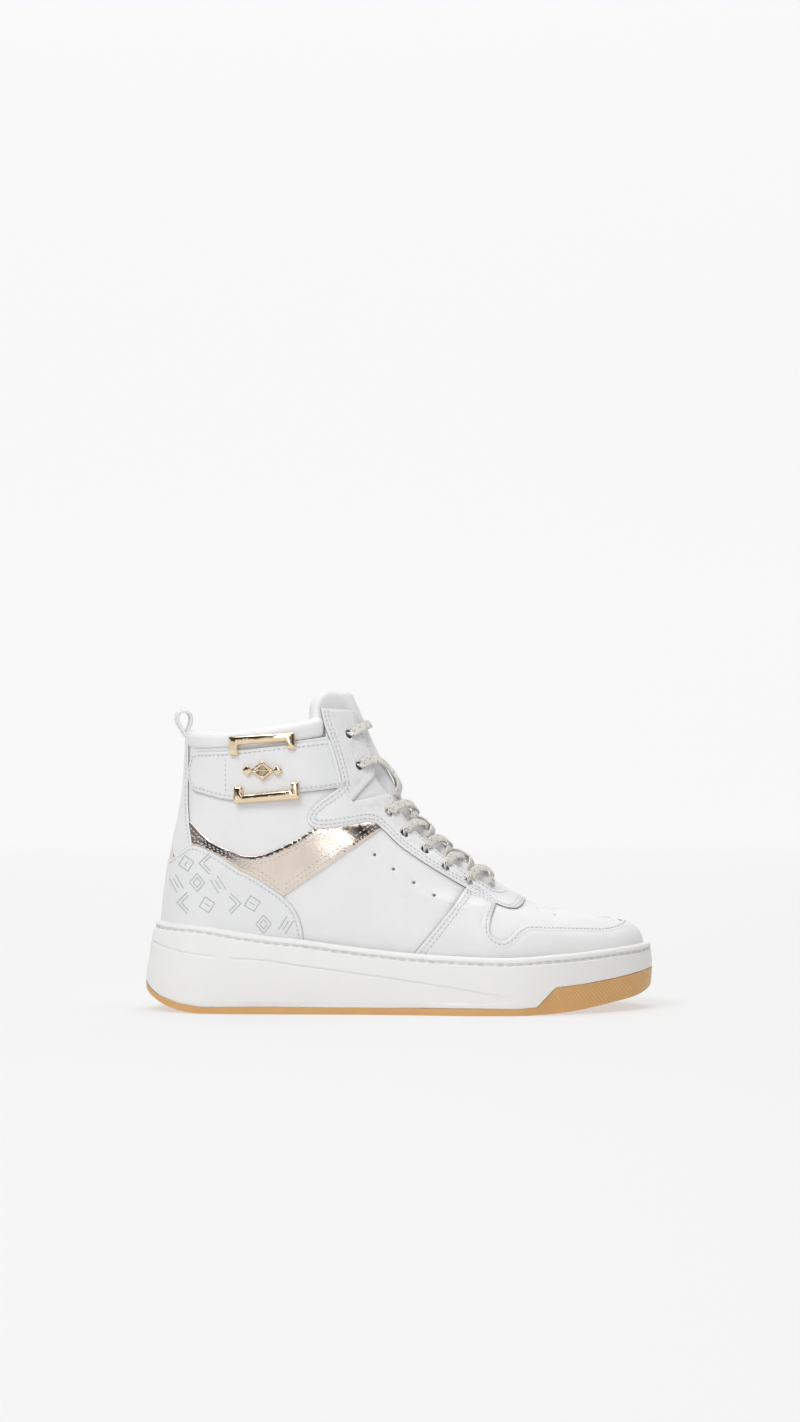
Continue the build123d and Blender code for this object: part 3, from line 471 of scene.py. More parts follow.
def panel_mesh(part, kind, loop, low, high, edge=0.5, grid=2.4, holes=(), grooves=(), swell=None,
               pitch=1.1, slots=(0, 1), depth=0.22, rings=(0.12, 0.42, 1.0)):
    """Adds a closed sheet to the part: an outline on the surface, its thickness, rounded edge and grooves."""
    loop = resample(kind, loop, high, pitch)
    loops = [loop]
    loop_3d = surface(kind, loop, high)
    for hole in holes:
        ring = surface(kind, hole, high)
        clear = segment_distance(ring, loop_3d, wrap_loop(loop_3d)).min() > 0.6
        if clear and inside(hole, loop).all():
            loops.append(np.asarray(hole))
    starts = np.concatenate([surface(kind, ring, high) for ring in loops])
    ends = np.concatenate([wrap_loop(surface(kind, ring, high)) for ring in loops])

    distances = [r * edge for r in rings]
    for g in grooves:
        distances += [g - 0.5, g - 0.22, g, g + 0.22, g + 0.5]
    distances = sorted(set(round(d, 3) for d in distances))
    extra = []
    for ring in loops:
        closed = np.concatenate([ring[-1:], ring, ring[:1]])
        across = outward(closed, kind, high)[2][1:-1]
        some = slice(None, None, max(len(ring) // 16, 1))
        trial = shifted(kind, ring[some], across[some], 0.2, high)
        sign = 1 if inside(trial, ring).mean() > 0.5 else -1
        if ring is not loop:
            sign = -sign
        for d in distances:
            extra.append((shifted(kind, ring, across * sign, d, high), d))
    low_corner, high_corner = loop.min(0), loop.max(0)
    xs = np.arange(low_corner[0], high_corner[0] + grid, grid)
    ys = np.arange(low_corner[1], high_corner[1] + grid, grid * 0.87)
    gx, gy = np.meshgrid(xs, ys)
    gx[1::2] += grid / 2
    extra.append((np.stack([gx.ravel(), gy.ravel()], 1), max(distances) + 0.45 * grid))

    keep = []
    for points, least in extra:
        gap = segment_distance(surface(kind, points, high), starts, ends)
        keep.append(points[gap > least * 0.93])
    flat = np.concatenate(loops + keep)
    edges, begin = [], 0
    for ring in loops:
        n = len(ring)
        edges += [(begin + k, begin + (k + 1) % n) for k in range(n)]
        begin += n
    verts, _, faces, _, _, _ = delaunay_2d_cdt([Vector(p) for p in flat.tolist()], edges, [], 0, 1e-4)
    q = np.array([tuple(v) for v in verts])
    faces = np.array([f for f in faces if len(f) == 3])
    middle = q[faces].mean(1)
    good = inside(middle, loop)
    for ring in loops[1:]:
        good &= ~inside(middle, ring)
    faces = faces[good]

    gap = segment_distance(surface(kind, q, high), starts, ends)
    t = np.clip(1 - gap / edge, 0, 1)
    drop = edge * (1 - np.sqrt(1 - t * t))
    for g in grooves:
        drop = drop + depth * np.exp(-((gap - g) / 0.3) ** 2)
    rise = 0 if swell is None else swell(q, gap)
    top = surface(kind, q, high - drop + rise)
    bottom = surface(kind, q, np.minimum(low, high - edge - 0.05) if swell is None else low)
    _, out = jacobian(kind, q[faces].mean(1)[:1], high)
    first = np.cross(top[faces[0, 1]] - top[faces[0, 0]], top[faces[0, 2]] - top[faces[0, 0]])
    if (first * out[0]).sum() < 0:
        faces = faces[:, ::-1]
    n = len(q)
    rim = dict.fromkeys(e for a, b, c in faces.tolist() for e in ((a, b), (b, c), (c, a)))
    border = [e for e in rim if (e[1], e[0]) not in rim]
    walls = [(b, a, a + n, b + n) for a, b in border]
    used = np.tile(np.isin(np.arange(n), faces), 2)
    remap = np.cumsum(used) - 1
    everything = np.concatenate([top, bottom])[used]
    all_faces = [remap[list(f)] for f in faces.tolist()]
    all_faces += [remap[[c + n, b + n, a + n]] for a, b, c in faces.tolist()]
    all_faces += [remap[list(f)] for f in walls]
    slot = [slots[0]] * (2 * len(faces)) + [slots[1]] * len(walls)
    sharp = [remap[list(e)] for e in border] + [remap[[a + n, b + n]] for a, b in border]
    part.add(everything, all_faces, slot, sharp)


def tube_faces(rings, sides):
    """Faces between rings of points that follow one another, with a cap at each end."""
    faces = []
    for k in range(rings - 1):
        for j in range(sides):
            a, b = k * sides + j, k * sides + (j + 1) % sides
            faces.append((a, b, b + sides, a + sides))
    faces.append(tuple(range(sides))[::-1])
    faces.append(tuple((rings - 1) * sides + j for j in range(sides)))
    return faces


def sweep(part, centres, frames, outline):
    """Capped tube with a fixed outline; frames give the outline's two directions at each centre."""
    across, up = frames
    n, m = len(centres), len(outline)
    points = [centres[k] + np.outer(outline[:, 0], across[k]) + np.outer(outline[:, 1], up[k])
              for k in range(n)]
    length = np.concatenate([[0], np.cumsum(np.linalg.norm(np.diff(centres, axis=0), axis=1))])
    uv = np.stack([np.repeat(length, m), np.tile(outline[:, 0], n)], 1)
    part.add(np.concatenate(points), tube_faces(n, m), uv=uv)


def capsule(length, width, height, sides=6, rings=5):
    """Template of one stitch: a short thread that dips into the leather at both ends."""
    points, faces = [], []
    for k in range(rings):
        s = -1 + 2 * k / (rings - 1)
        size = math.sqrt(max(1 - abs(s) ** 3, 0.04))
        for j in range(sides):
            a = 2 * math.pi * j / sides
            points.append((s * length / 2, math.cos(a) * width / 2 * size,
                           math.sin(a) * height / 2 * size - 0.22 * s * s * height))
    for k in range(rings - 1):
        for j in range(sides):
            a, b = k * sides + j, k * sides + (j + 1) % sides
            faces.append((a, a + sides, b + sides, b))
    faces.append(tuple(range(sides)))
    faces.append(tuple((rings - 1) * sides + j for j in range(sides))[::-1])
    return np.array(points), faces


def stitch(part, centres, along, normal, length=1.9, width=0.62, height=0.55, lean=0.07):
    template, faces = capsule(length, width, height)
    across = np.cross(normal, along)
    for c, t, b, n in zip(centres, along, across, normal):
        turn = rng.uniform(-lean, lean)
        size = rng.uniform(0.93, 1.05)
        t2, b2 = t + b * turn, b - t * turn
        points = c + size * (np.outer(template[:, 0], t2) + np.outer(template[:, 1], b2)) \
            + np.outer(template[:, 2], n)
        part.add(points, faces)


def stitch_row(part, kind, path, offset, pitch=2.5, lift=0.02, **shape):
    """A row of stitches along a path of surface coordinates."""
    path = resample(kind, path, offset, pitch, closed=False)
    if len(path) < 4:
        return
    points, along, _, normal = outward(path, kind, offset + lift)
    stitch(part, points[1:-1], along[1:-1], normal[1:-1], **shape)


# ---------------------------------------------------------------- materials

def new_material(name):
    material = bpy.data.materials.new(name)
    material.use_nodes = True
    nodes, links = material.node_tree.nodes, material.node_tree.links
    shader = nodes["Principled BSDF"]
    place = nodes.new("ShaderNodeTexCoord")
    return material, nodes, links, shader, place.outputs["Object"]


def noise(nodes, links, vector, scale, detail=3.0, rough=0.55):
    node = nodes.new("ShaderNodeTexNoise")
    node.inputs["Scale"].default_value = scale
    node.inputs["Detail"].default_value = detail
    node.inputs["Roughness"].default_value = rough
    links.new(vector, node.inputs["Vector"])
    return node.outputs["Fac"]


def cells(nodes, links, vector, scale, feature="F1"):
    node = nodes.new("ShaderNodeTexVoronoi")
    node.feature = feature
    node.inputs["Scale"].default_value = scale
    links.new(vector, node.inputs["Vector"])
    return node


def ramp(nodes, links, value, stops):
    node = nodes.new("ShaderNodeValToRGB")
    band = node.color_ramp
    while len(band.elements) < len(stops):
        band.elements.new(0.5)
    for element, (at, colour) in zip(band.elements, stops):
        element.position = at
        element.color = (*colour, 1) if len(colour) == 3 else (colour[0],) * 3 + (1,)
    links.new(value, node.inputs["Fac"])
    return node.outputs["Color"]


def bump(nodes, links, height, distance, strength=1.0, below=None):
    node = nodes.new("ShaderNodeBump")
    node.inputs["Distance"].default_value = distance
    node.inputs["Strength"].default_value = strength
    links.new(height, node.inputs["Height"])
    if below is not None:
        links.new(below, node.inputs["Normal"])
    return node.outputs["Normal"]


def shade(colour, factor):
    return tuple(c * factor for c in colour)


def leather(name, colour, roughness=0.42, grain=0.00009, creases=0.0005, metallic=0.0, speckle=0.04):
    """Coated leather: pebble grain, slow hide undulation, faint tone changes and uneven polish."""
    material, nodes, links, shader, place = new_material(name)
    tone = noise(nodes, links, place, 38, 4)
    links.new(ramp(nodes, links, tone, [(0.3, shade(colour, 1 - speckle)), (0.7, colour)]),
              shader.inputs["Base Color"])
    polish = noise(nodes, links, place, 260, 3)
    links.new(ramp(nodes, links, polish, [(0.25, (roughness * 0.82,)), (0.75, (roughness * 1.2,))]),
              shader.inputs["Roughness"])
    shader.inputs["Metallic"].default_value = metallic
    pebbles = cells(nodes, links, place, 1050)
    waves = bump(nodes, links, noise(nodes, links, place, 42, 2), creases)
    fine = bump(nodes, links, noise(nodes, links, place, 2600, 2), grain * 0.7, below=waves)
    links.new(bump(nodes, links, pebbles.outputs["Distance"], grain, 0.8, below=fine),
              shader.inputs["Normal"])
    return material


def fibre_and_painted_shade(name, colour):
    """Fibrous matte material in the given colour. On the leather panel edges and the pressed motifs the dark
    colour passed in, darker than the face, is painted shade; on the fibre board it is the board's own colour.
    """
    material, nodes, links, shader, place = new_material(name)
    fibre = noise(nodes, links, place, 1500, 5, 0.7)
    links.new(ramp(nodes, links, fibre, [(0.3, shade(colour, 0.72)), (0.7, colour)]),
              shader.inputs["Base Color"])
    shader.inputs["Roughness"].default_value = 0.8
    links.new(bump(nodes, links, fibre, 0.0001), shader.inputs["Normal"])
    return material


def rubber(name, colour, roughness, mottle, bumps=0.00005, inside=0.0):
    """Moulded rubber with fine mould texture and slight colour drift."""
    material, nodes, links, shader, place = new_material(name)
    tone = noise(nodes, links, place, 55, 5)
    links.new(ramp(nodes, links, tone, [(0.3, shade(colour, 1 - mottle)), (0.72, colour)]),
              shader.inputs["Base Color"])
    polish = noise(nodes, links, place, 700, 3)
    links.new(ramp(nodes, links, polish, [(0.3, (roughness * 0.85,)), (0.7, (roughness * 1.15,))]),
              shader.inputs["Roughness"])
    if inside:
        shader.inputs["Subsurface Weight"].default_value = inside
        shader.inputs["Subsurface Radius"].default_value = (0.6, 0.35, 0.15)
        shader.inputs["Subsurface Scale"].default_value = 0.004
    slow = bump(nodes, links, noise(nodes, links, place, 90, 2), bumps * 3)
    links.new(bump(nodes, links, noise(nodes, links, place, 1900, 3), bumps, below=slow),
              shader.inputs["Normal"])
    return material


def gum_rubber():
    """Gum rubber; the toe bumper carries fine slanting ribs."""
    material = rubber("gum_rubber", (0.76, 0.43, 0.165), 0.42, 0.1, 0.00005, 0.1)
    nodes, links = material.node_tree.nodes, material.node_tree.links
    shader = nodes["Principled BSDF"]
    place = next(n for n in nodes if n.bl_idname == "ShaderNodeTexCoord").outputs["Object"]
    turn = nodes.new("ShaderNodeMapping")
    turn.inputs["Rotation"].default_value = (0, math.radians(40), 0)
    links.new(place, turn.inputs["Vector"])
    wave = nodes.new("ShaderNodeTexWave")
    wave.inputs["Scale"].default_value = 190
    wave.bands_direction = "X"
    links.new(turn.outputs["Vector"], wave.inputs["Vector"])
    split = nodes.new("ShaderNodeSeparateXYZ")
    links.new(place, split.inputs["Vector"])
    front = ramp_between(nodes, links, split.outputs["X"], 0.068, 0.078)
    high = ramp_between(nodes, links, split.outputs["Z"], 0.0035, 0.0045)
    gate = multiply(nodes, links, multiply(nodes, links, front, high), wave.outputs["Fac"])
    below = shader.inputs["Normal"].links[0].from_socket
    links.new(bump(nodes, links, gate, 0.0002, 0.8, below=below), shader.inputs["Normal"])
    return material


def ramp_between(nodes, links, value, low, high):
    node = nodes.new("ShaderNodeMapRange")
    node.inputs["From Min"].default_value = low
    node.inputs["From Max"].default_value = high
    links.new(value, node.inputs["Value"])
    return node.outputs["Result"]


def multiply(nodes, links, a, b, operation="MULTIPLY"):
    node = nodes.new("ShaderNodeMath")
    node.operation = operation
    for k, value in enumerate((a, b)):
        if isinstance(value, float):
            node.inputs[k].default_value = value
        else:
            links.new(value, node.inputs[k])
    return node.outputs["Value"]


def gold_metal():
    """Polished plated metal with faint smears and hairline scuffs."""
    material, nodes, links, shader, place = new_material("gold_metal")
    shader.inputs["Metallic"].default_value = 1.0
    tone = noise(nodes, links, place, 120, 3)
    links.new(ramp(nodes, links, tone, [(0.3, (0.83, 0.66, 0.45)), (0.7, (0.90, 0.75, 0.54))]),
              shader.inputs["Base Color"])
    smear = noise(nodes, links, place, 900, 4)
    links.new(ramp(nodes, links, smear, [(0.35, (0.10,)), (0.8, (0.22,))]), shader.inputs["Roughness"])
    links.new(bump(nodes, links, noise(nodes, links, place, 240, 2), 0.00006), shader.inputs["Normal"])
    return material


def gold_leather():
    """Mirror foil on leather: bright, with soft hide ripples that break up its reflections."""
    material, nodes, links, shader, place = new_material("gold_leather")
    shader.inputs["Metallic"].default_value = 1.0
    tone = noise(nodes, links, place, 70, 3)
    links.new(ramp(nodes, links, tone, [(0.3, (0.74, 0.64, 0.565)), (0.7, (0.82, 0.72, 0.64))]),
              shader.inputs["Base Color"])
    smear = noise(nodes, links, place, 420, 4)
    links.new(ramp(nodes, links, smear, [(0.3, (0.14,)), (0.8, (0.22,))]), shader.inputs["Roughness"])
    slow = bump(nodes, links, noise(nodes, links, place, 30, 1), 0.0005)
    pebbles = cells(nodes, links, place, 1300)
    links.new(bump(nodes, links, pebbles.outputs["Distance"], 0.000025, below=slow), shader.inputs["Normal"])
    return material


def thread(name, colour):
    """Twisted bonded thread."""
    material, nodes, links, shader, place = new_material(name)
    twist = noise(nodes, links, place, 3200, 2)
    links.new(ramp(nodes, links, twist, [(0.35, shade(colour, 0.82)), (0.65, colour)]),
              shader.inputs["Base Color"])
    shader.inputs["Roughness"].default_value = 0.62
    shader.inputs["Sheen Weight"].default_value = 0.2
    links.new(bump(nodes, links, twist, 0.0001), shader.inputs["Normal"])
    return material


def fabric(name, colour, pitch, roughness=0.85):
    """Knitted lining cloth: small round loops and a soft nap."""
    material, nodes, links, shader, place = new_material(name)
    loops = cells(nodes, links, place, 1.0 / pitch)
    links.new(ramp(nodes, links, loops.outputs["Distance"], [(0.0, colour), (0.75, shade(colour, 0.72))]),
              shader.inputs["Base Color"])
    shader.inputs["Roughness"].default_value = roughness
    shader.inputs["Sheen Weight"].default_value = 0.3
    slow = bump(nodes, links, noise(nodes, links, place, 50, 3), 0.0006)
    node = bump(nodes, links, loops.outputs["Distance"], -0.0003, 0.9, below=slow)
    links.new(node, shader.inputs["Normal"])
    return material


def woven_lace():
    """Flat woven lace: slanting picks along its length, ivory with clusters of metallic flecks."""
    material, nodes, links, shader, _ = new_material("lace_weave")
    coordinates = nodes.new("ShaderNodeTexCoord").outputs["UV"]
    picks = []
    for angle in (32, -32):
        turn = nodes.new("ShaderNodeMapping")
        turn.inputs["Rotation"].default_value = (0, 0, math.radians(angle))
        links.new(coordinates, turn.inputs["Vector"])
        wave = nodes.new("ShaderNodeTexWave")
        wave.inputs["Scale"].default_value = 0.42
        wave.inputs["Distortion"].default_value = 0.6
        links.new(turn.outputs["Vector"], wave.inputs["Vector"])
        picks.append(wave.outputs["Fac"])
    weave = multiply(nodes, links, picks[0], picks[1], "MAXIMUM")
    base = ramp(nodes, links, weave, [(0.15, (0.84, 0.805, 0.72)), (0.75, (0.93, 0.91, 0.85))])
    flecks = cells(nodes, links, coordinates, 2.1)
    cluster = noise(nodes, links, coordinates, 0.35, 2)
    split = nodes.new("ShaderNodeSeparateColor")
    links.new(flecks.outputs["Color"], split.inputs["Color"])
    here = multiply(nodes, links, split.outputs["Red"], cluster)
    gate = nodes.new("ShaderNodeMath")
    gate.operation = "GREATER_THAN"
    gate.inputs[1].default_value = 0.485
    links.new(here, gate.inputs[0])
    fleck = ramp(nodes, links, split.outputs["Green"],
                 [(0.35, (0.14, 0.10, 0.06)), (0.6, (0.62, 0.45, 0.22))])
    mix = nodes.new("ShaderNodeMix")
    mix.data_type = "RGBA"
    links.new(gate.outputs["Value"], mix.inputs["Factor"])
    links.new(base, mix.inputs["A"])
    links.new(fleck, mix.inputs["B"])
    links.new(mix.outputs["Result"], shader.inputs["Base Color"])
    links.new(multiply(nodes, links, gate.outputs["Value"], 0.7), shader.inputs["Metallic"])
    rough = ramp(nodes, links, gate.outputs["Value"], [(0.0, (0.72,)), (1.0, (0.35,))])
    links.new(rough, shader.inputs["Roughness"])
    shader.inputs["Sheen Weight"].default_value = 0.25
    links.new(bump(nodes, links, weave, 0.00035), shader.inputs["Normal"])
    return material


WHITE = leather("white_leather", (0.885, 0.885, 0.89))
PLAIN = leather("strap_leather", (0.87, 0.872, 0.88), 0.36, 0.00006, 0.0006)
SOFT = leather("soft_leather", (0.87, 0.872, 0.878), 0.46, 0.00007, 0.0009)
COUNTER = leather("counter_leather", (0.85, 0.852, 0.86), 0.4, 0.00008)
# Dark grey wall colour of every leather panel edge: painted shade along the edges.
EDGE = fibre_and_painted_shade("leather_edge_painted_shade", (0.36, 0.36, 0.38))
FOLD = leather("folded_edge", (0.80, 0.80, 0.81), 0.45)
GOLD = gold_leather()
# Dark brown wall colour of the gold heel insert's edge: painted shade along the edge.
GOLD_SHADED_EDGE = fibre_and_painted_shade("gold_edge_painted_shade", (0.36, 0.27, 0.19))
METAL = gold_metal()
THREAD = thread("white_thread", (0.66, 0.66, 0.67))
SOLE_THREAD = thread("sole_thread", (0.82, 0.81, 0.78))
RUBBER = rubber("white_rubber", (0.90, 0.895, 0.88), 0.5, 0.02)
GUM = gum_rubber()
CLOTH = fabric("lining_cloth", (0.72, 0.72, 0.73), 0.0011)
BED = fabric("footbed_cloth", (0.66, 0.66, 0.68), 0.0014)
LACE = woven_lace()
# Darker grey of the heel-counter motifs: painted shade of the pressed lines.
MOTIF_SHADE = fibre_and_painted_shade("motif_painted_shade", (0.60, 0.60, 0.61))


# ---------------------------------------------------------------- outlines

PANEL_LOW = -1.4
LINING_LOW, LINING_HIGH = -2.55, -1.5
TONGUE_LOW, TONGUE_HIGH = -9.05, -2.85
OVERLAY_LOW, EYESTAY_OFFSET = 0.05, 1.35
STRAP_OFFSET = 1.9
METAL_LOW, METAL_HIGH = 1.95, 4.45
MOTIF_LOW, MOTIF_HIGH = 1.2, 1.5


def ground(x_from, x_to):
    return [(x_from, LASTING_Z - LASTING_SLOPE * x_from), (x_to, LASTING_Z - LASTING_SLOPE * x_to)]


def throat_line():
    """Side-view edge of the throat: top straight, notch, lower curve."""
    return chain(THROAT_TOP, [THROAT_TOP[-1], NOTCH], [NOTCH, THROAT_LOWER[0]], THROAT_LOWER)


def quarter_outline(side):
    throat = smooth(THROAT_LOWER)
    shaft = np.concatenate([smooth(SHAFT_LINE), smooth([SHAFT_LINE[-1], (150, 125)])])
    top = until(shaft, throat)
    edge = after(throat, shaft)
    edge = until(edge, smooth([SEAM_TOP, SEAM_END]))
    path = np.concatenate([top, edge, smooth([SEAM_TOP, SEAM_FOOT]), smooth(ground(SEAM_FOOT[0], 4))])
    return close_at_heel(heel_map(path, side))


def ankle_outline(side):
    shaft = np.concatenate([smooth(SHAFT_LINE), smooth([SHAFT_LINE[-1], (150, 125)])])
    lower = until(shaft, smooth(THROAT_LOWER))
    throat = throat_line()
    throat = until(throat, shaft[-30:])
    path = np.concatenate([lower, throat[::-1], smooth([THROAT_TOP[0], (99.5, 167.6)]),
                           smooth([(99.5, 167.6), COLLAR_SEAM[-1]]), smooth(COLLAR_SEAM)[::-1]])
    return close_at_heel(heel_map(path, side))


def close_at_heel(path):
    """Keeps a one-sided outline off the heel centre line by a hair."""
    side = 1 if path[:, 0].sum() > 0 else -1
    away = np.abs(path[:, 0]) > 0.3
    path = path[away]
    gap = np.abs(np.diff(np.concatenate([path, path[:1]]), axis=0)).sum(1)
    k = int(np.argmax(gap))
    path = np.roll(path, -(k + 1), 0)
    start, end = path[0].copy(), path[-1].copy()
    start[0] = end[0] = side * 0.3
    return np.concatenate([start[None], path, end[None]])


def eyestay_outline():
    path = np.concatenate([smooth(EYESTAY_HOOK)[::-1], smooth(EYESTAY_REAR)[::-1],
                           smooth([EYESTAY_REAR[0], THROAT_TOP[0]]), throat_line()])
    return both_sides(front_clip(toe_map(path, MEDIAL, EYESTAY_OFFSET)))


def front_clip(path):
    """Trims both ends of a one-sided path where it runs past the front centre line."""
    inside_rows = np.nonzero(np.abs(path[:, 0]) > 0.05)[0]
    return path[inside_rows[0]:inside_rows[-1] + 1]


def vamp_outline():
    throat = smooth(THROAT_LOWER)
    edge = after(throat, smooth([SEAM_TOP, SEAM_END]))
    path = np.concatenate([edge[::-1], smooth([SEAM_TOP, SEAM_FOOT]), smooth(ground(SEAM_FOOT[0], 300))])
    return both_sides(front_clip(toe_map(path, MEDIAL)))


def mudguard_outline():
    path = np.concatenate([smooth(ground(300, SEAM_FOOT[0])), smooth([SEAM_FOOT, SEAM_TOP]),
                           smooth([SEAM_TOP, (187.3, 65.2), (194.9, 61.0)]), smooth(MUDGUARD_EDGE)])
    return both_sides(front_clip(toe_map(path, MEDIAL, EYESTAY_OFFSET)))


def counter_outline():
    path = np.concatenate([smooth(COUNTER_TOP[:-1]), smooth([COUNTER_TOP[-2], (89.2, 31.3)]),
                           smooth(ground(89.2, 4))])
    return both_sides(heel_map(path, MEDIAL, EYESTAY_OFFSET))


def counter_edge():
    return centre_clip(heel_map(smooth(COUNTER_TOP), MEDIAL, EYESTAY_OFFSET))


def backstay_edge():
    return rear_map([(half, z) for z, half in smooth(BACKSTAY_SIDE, 2.0)], EYESTAY_OFFSET)


def window_edge():
    return rear_map(smooth([(0.05, 99.0), (21.5, 78.0)]), EYESTAY_OFFSET)


def backstay_outline():
    side = until(backstay_edge(), counter_edge())
    foot = counter_edge()[::-1]
    foot = until(after(foot, backstay_edge()), window_edge())
    window = until(window_edge(), counter_edge())[::-1]
    top = rear_map([(0.1, 151.6)], EYESTAY_OFFSET)
    return both_sides(np.concatenate([top, side, foot, window]))


def insert_outline():
    window = until(window_edge(), counter_edge())
    foot = until(counter_edge(), window_edge())[::-1]
    return both_sides(np.concatenate([window, foot]))


def gold_outline(side):
    """Gold panel between the heel strip, the ankle panel, the eyestay's hook and the counter."""
    counter = counter_edge()
    top = heel_map(smooth(GOLD_TOP), MEDIAL, EYESTAY_OFFSET)
    hook = heel_map(smooth(EYESTAY_HOOK[4:]), MEDIAL, EYESTAY_OFFSET)
    front = heel_map(smooth([GOLD_FRONT, GOLD_CORNER]), MEDIAL, EYESTAY_OFFSET)
    rear = backstay_edge()
    up = until(after(rear[::-1], counter), top)
    top = until(after(top, rear), hook)
    lower = until(after(hook, top), front)
    front = until(after(front, hook), counter)
    bottom = until(after(counter[::-1], front), rear)
    return np.concatenate([top, lower, front, bottom, up]) * [side, 1]


def strap_outline(offset):
    rear = smooth(EYESTAY_REAR)
    top = until(smooth(STRAP_TOP), rear)
    foot = until(smooth(STRAP_FOOT), rear)
    edge = until(after(rear, smooth(STRAP_TOP)), smooth(STRAP_FOOT))
    path = np.concatenate([top, edge, foot[::-1], smooth(STRAP_LEFT)[::-1]])
    return heel_map(path, LATERAL, offset)


def holes_at(kind, spots, side, radius, offset):
    to_map = heel_map if kind == "heel" else toe_map
    return [circle(kind, to_map([spot], side, offset), radius, offset) for spot in spots]


def vamp_vents():
    """Rows of small holes over the toe box, placed by their plan position."""
    holes = []
    row = np.linspace(2.2, 9.5, 300)
    for x in (219, 228):
        hx, _ = profile(HEEL_X, HEEL_Z, row, 0)
        fx, _ = profile(FRONT_X, FRONT_Z, row, 0)
        along = (x - hx) / (fx - hx)
        ok = along < 0.999
        u = np.arccos(1 - 2 * np.clip(along, 0, 1)) / np.pi
        for side in (LATERAL, MEDIAL):
            y = np.abs(upper_points(row, u, np.full_like(u, side), 0)[:, 1])
            for want in (4.5, 13, 21):
                k = int(np.argmin(np.where(ok, np.abs(y - want), 1e9)))
                spot = [side * (1 - u[k]) * AROUND, row[k] * UPWARD]
                holes.append(circle("toe", spot, VENT_RADIUS, 0.0, 12))
    return holes


# ---------------------------------------------------------------- leather upper

def make_shell():
    """Base leather: quarters, ankle panels and vamp, each with a turned or cut edge whose dark grey wall
    colour is painted shade.
    """
    for side, name in SIDES:
        part = Part()
        holes = holes_at("heel", EYELETS, side, EYELET_RADIUS, 0) \
            + holes_at("heel", QUARTER_VENTS, side, VENT_RADIUS, 0)
        panel_mesh(part, "heel", quarter_outline(side), PANEL_LOW, 0.0, 0.45, 3.0, holes)
        part.build(f"{name}_quarter_leather", [WHITE, EDGE], [f"{name}_quarter"])
        part = Part()
        holes = holes_at("heel", EYELETS, side, EYELET_RADIUS, 0)
        panel_mesh(part, "heel", ankle_outline(side), PANEL_LOW, 0.0, 0.45, 3.0, holes)
        part.build(f"{name}_ankle_leather", [WHITE, EDGE], [f"{name}_ankle_panel"])
    part = Part()
    holes = vamp_vents() + holes_at("toe", EYELETS, LATERAL, EYELET_RADIUS, 0) \
        + holes_at("toe", EYELETS, MEDIAL, EYELET_RADIUS, 0)
    panel_mesh(part, "toe", vamp_outline(), PANEL_LOW, 0.0, 0.45, 3.0, holes)
    part.build("vamp_leather", [WHITE, EDGE], ["vamp"])


def make_overlays():
    part = Part()
    holes = [h for side in (LATERAL, MEDIAL)
             for h in holes_at("toe", EYELETS, side, EYELET_RADIUS, EYESTAY_OFFSET)]
    panel_mesh(part, "toe", eyestay_outline(), OVERLAY_LOW, EYESTAY_OFFSET, 0.5, 2.6, holes,
               grooves=(1.9, 4.1))
    part.build("eyestay_leather", [WHITE, EDGE], ["eyestay"])
    part = Part()
    panel_mesh(part, "toe", mudguard_outline(), OVERLAY_LOW, EYESTAY_OFFSET, 0.5, 2.8, grooves=(2.0, 4.4))
    part.build("toe_overlay_leather", [WHITE, EDGE], ["toe_overlay"])
    part = Part()
    panel_mesh(part, "heel", counter_outline(), OVERLAY_LOW, EYESTAY_OFFSET, 0.5, 2.4, grooves=(2.2,))
    part.build("heel_counter_leather", [COUNTER, EDGE], ["heel_counter"])
    part = Part()
    panel_mesh(part, "heel", backstay_outline(), OVERLAY_LOW, EYESTAY_OFFSET, 0.5, 2.0, grooves=(1.8,))
    part.build("backstay_leather", [WHITE, EDGE], ["backstay"])
    part = Part()
    panel_mesh(part, "heel", insert_outline(), 0.05, 1.1, 0.35, 2.0)
    part.build("heel_insert_foil", [GOLD, GOLD_SHADED_EDGE], ["heel_insert"])
    for side, name in SIDES:
        part = Part()
        panel_mesh(part, "heel", gold_outline(side), OVERLAY_LOW, EYESTAY_OFFSET, 0.55, 1.7)
        part.build(f"{name}_gold_foil", [GOLD, FOLD], [f"{name}_gold_panel"])


def make_strap():
    part = Part()
    panel_mesh(part, "heel", strap_outline(STRAP_OFFSET), OVERLAY_LOW, STRAP_OFFSET, 0.7, 2.2,
               grooves=(2.0,), depth=0.28)
    part.build("ankle_strap_leather", [PLAIN, EDGE], ["ankle_strap"])


# ---------------------------------------------------------------- stitching

def beside(kind, path, distance, offset, side):
    """Path moved square to itself; positive is to its left as drawn in side view with x to the right."""
    _, _, across, _ = outward(path, kind, offset)
    return shifted(kind, path, across * (-side), distance, offset)


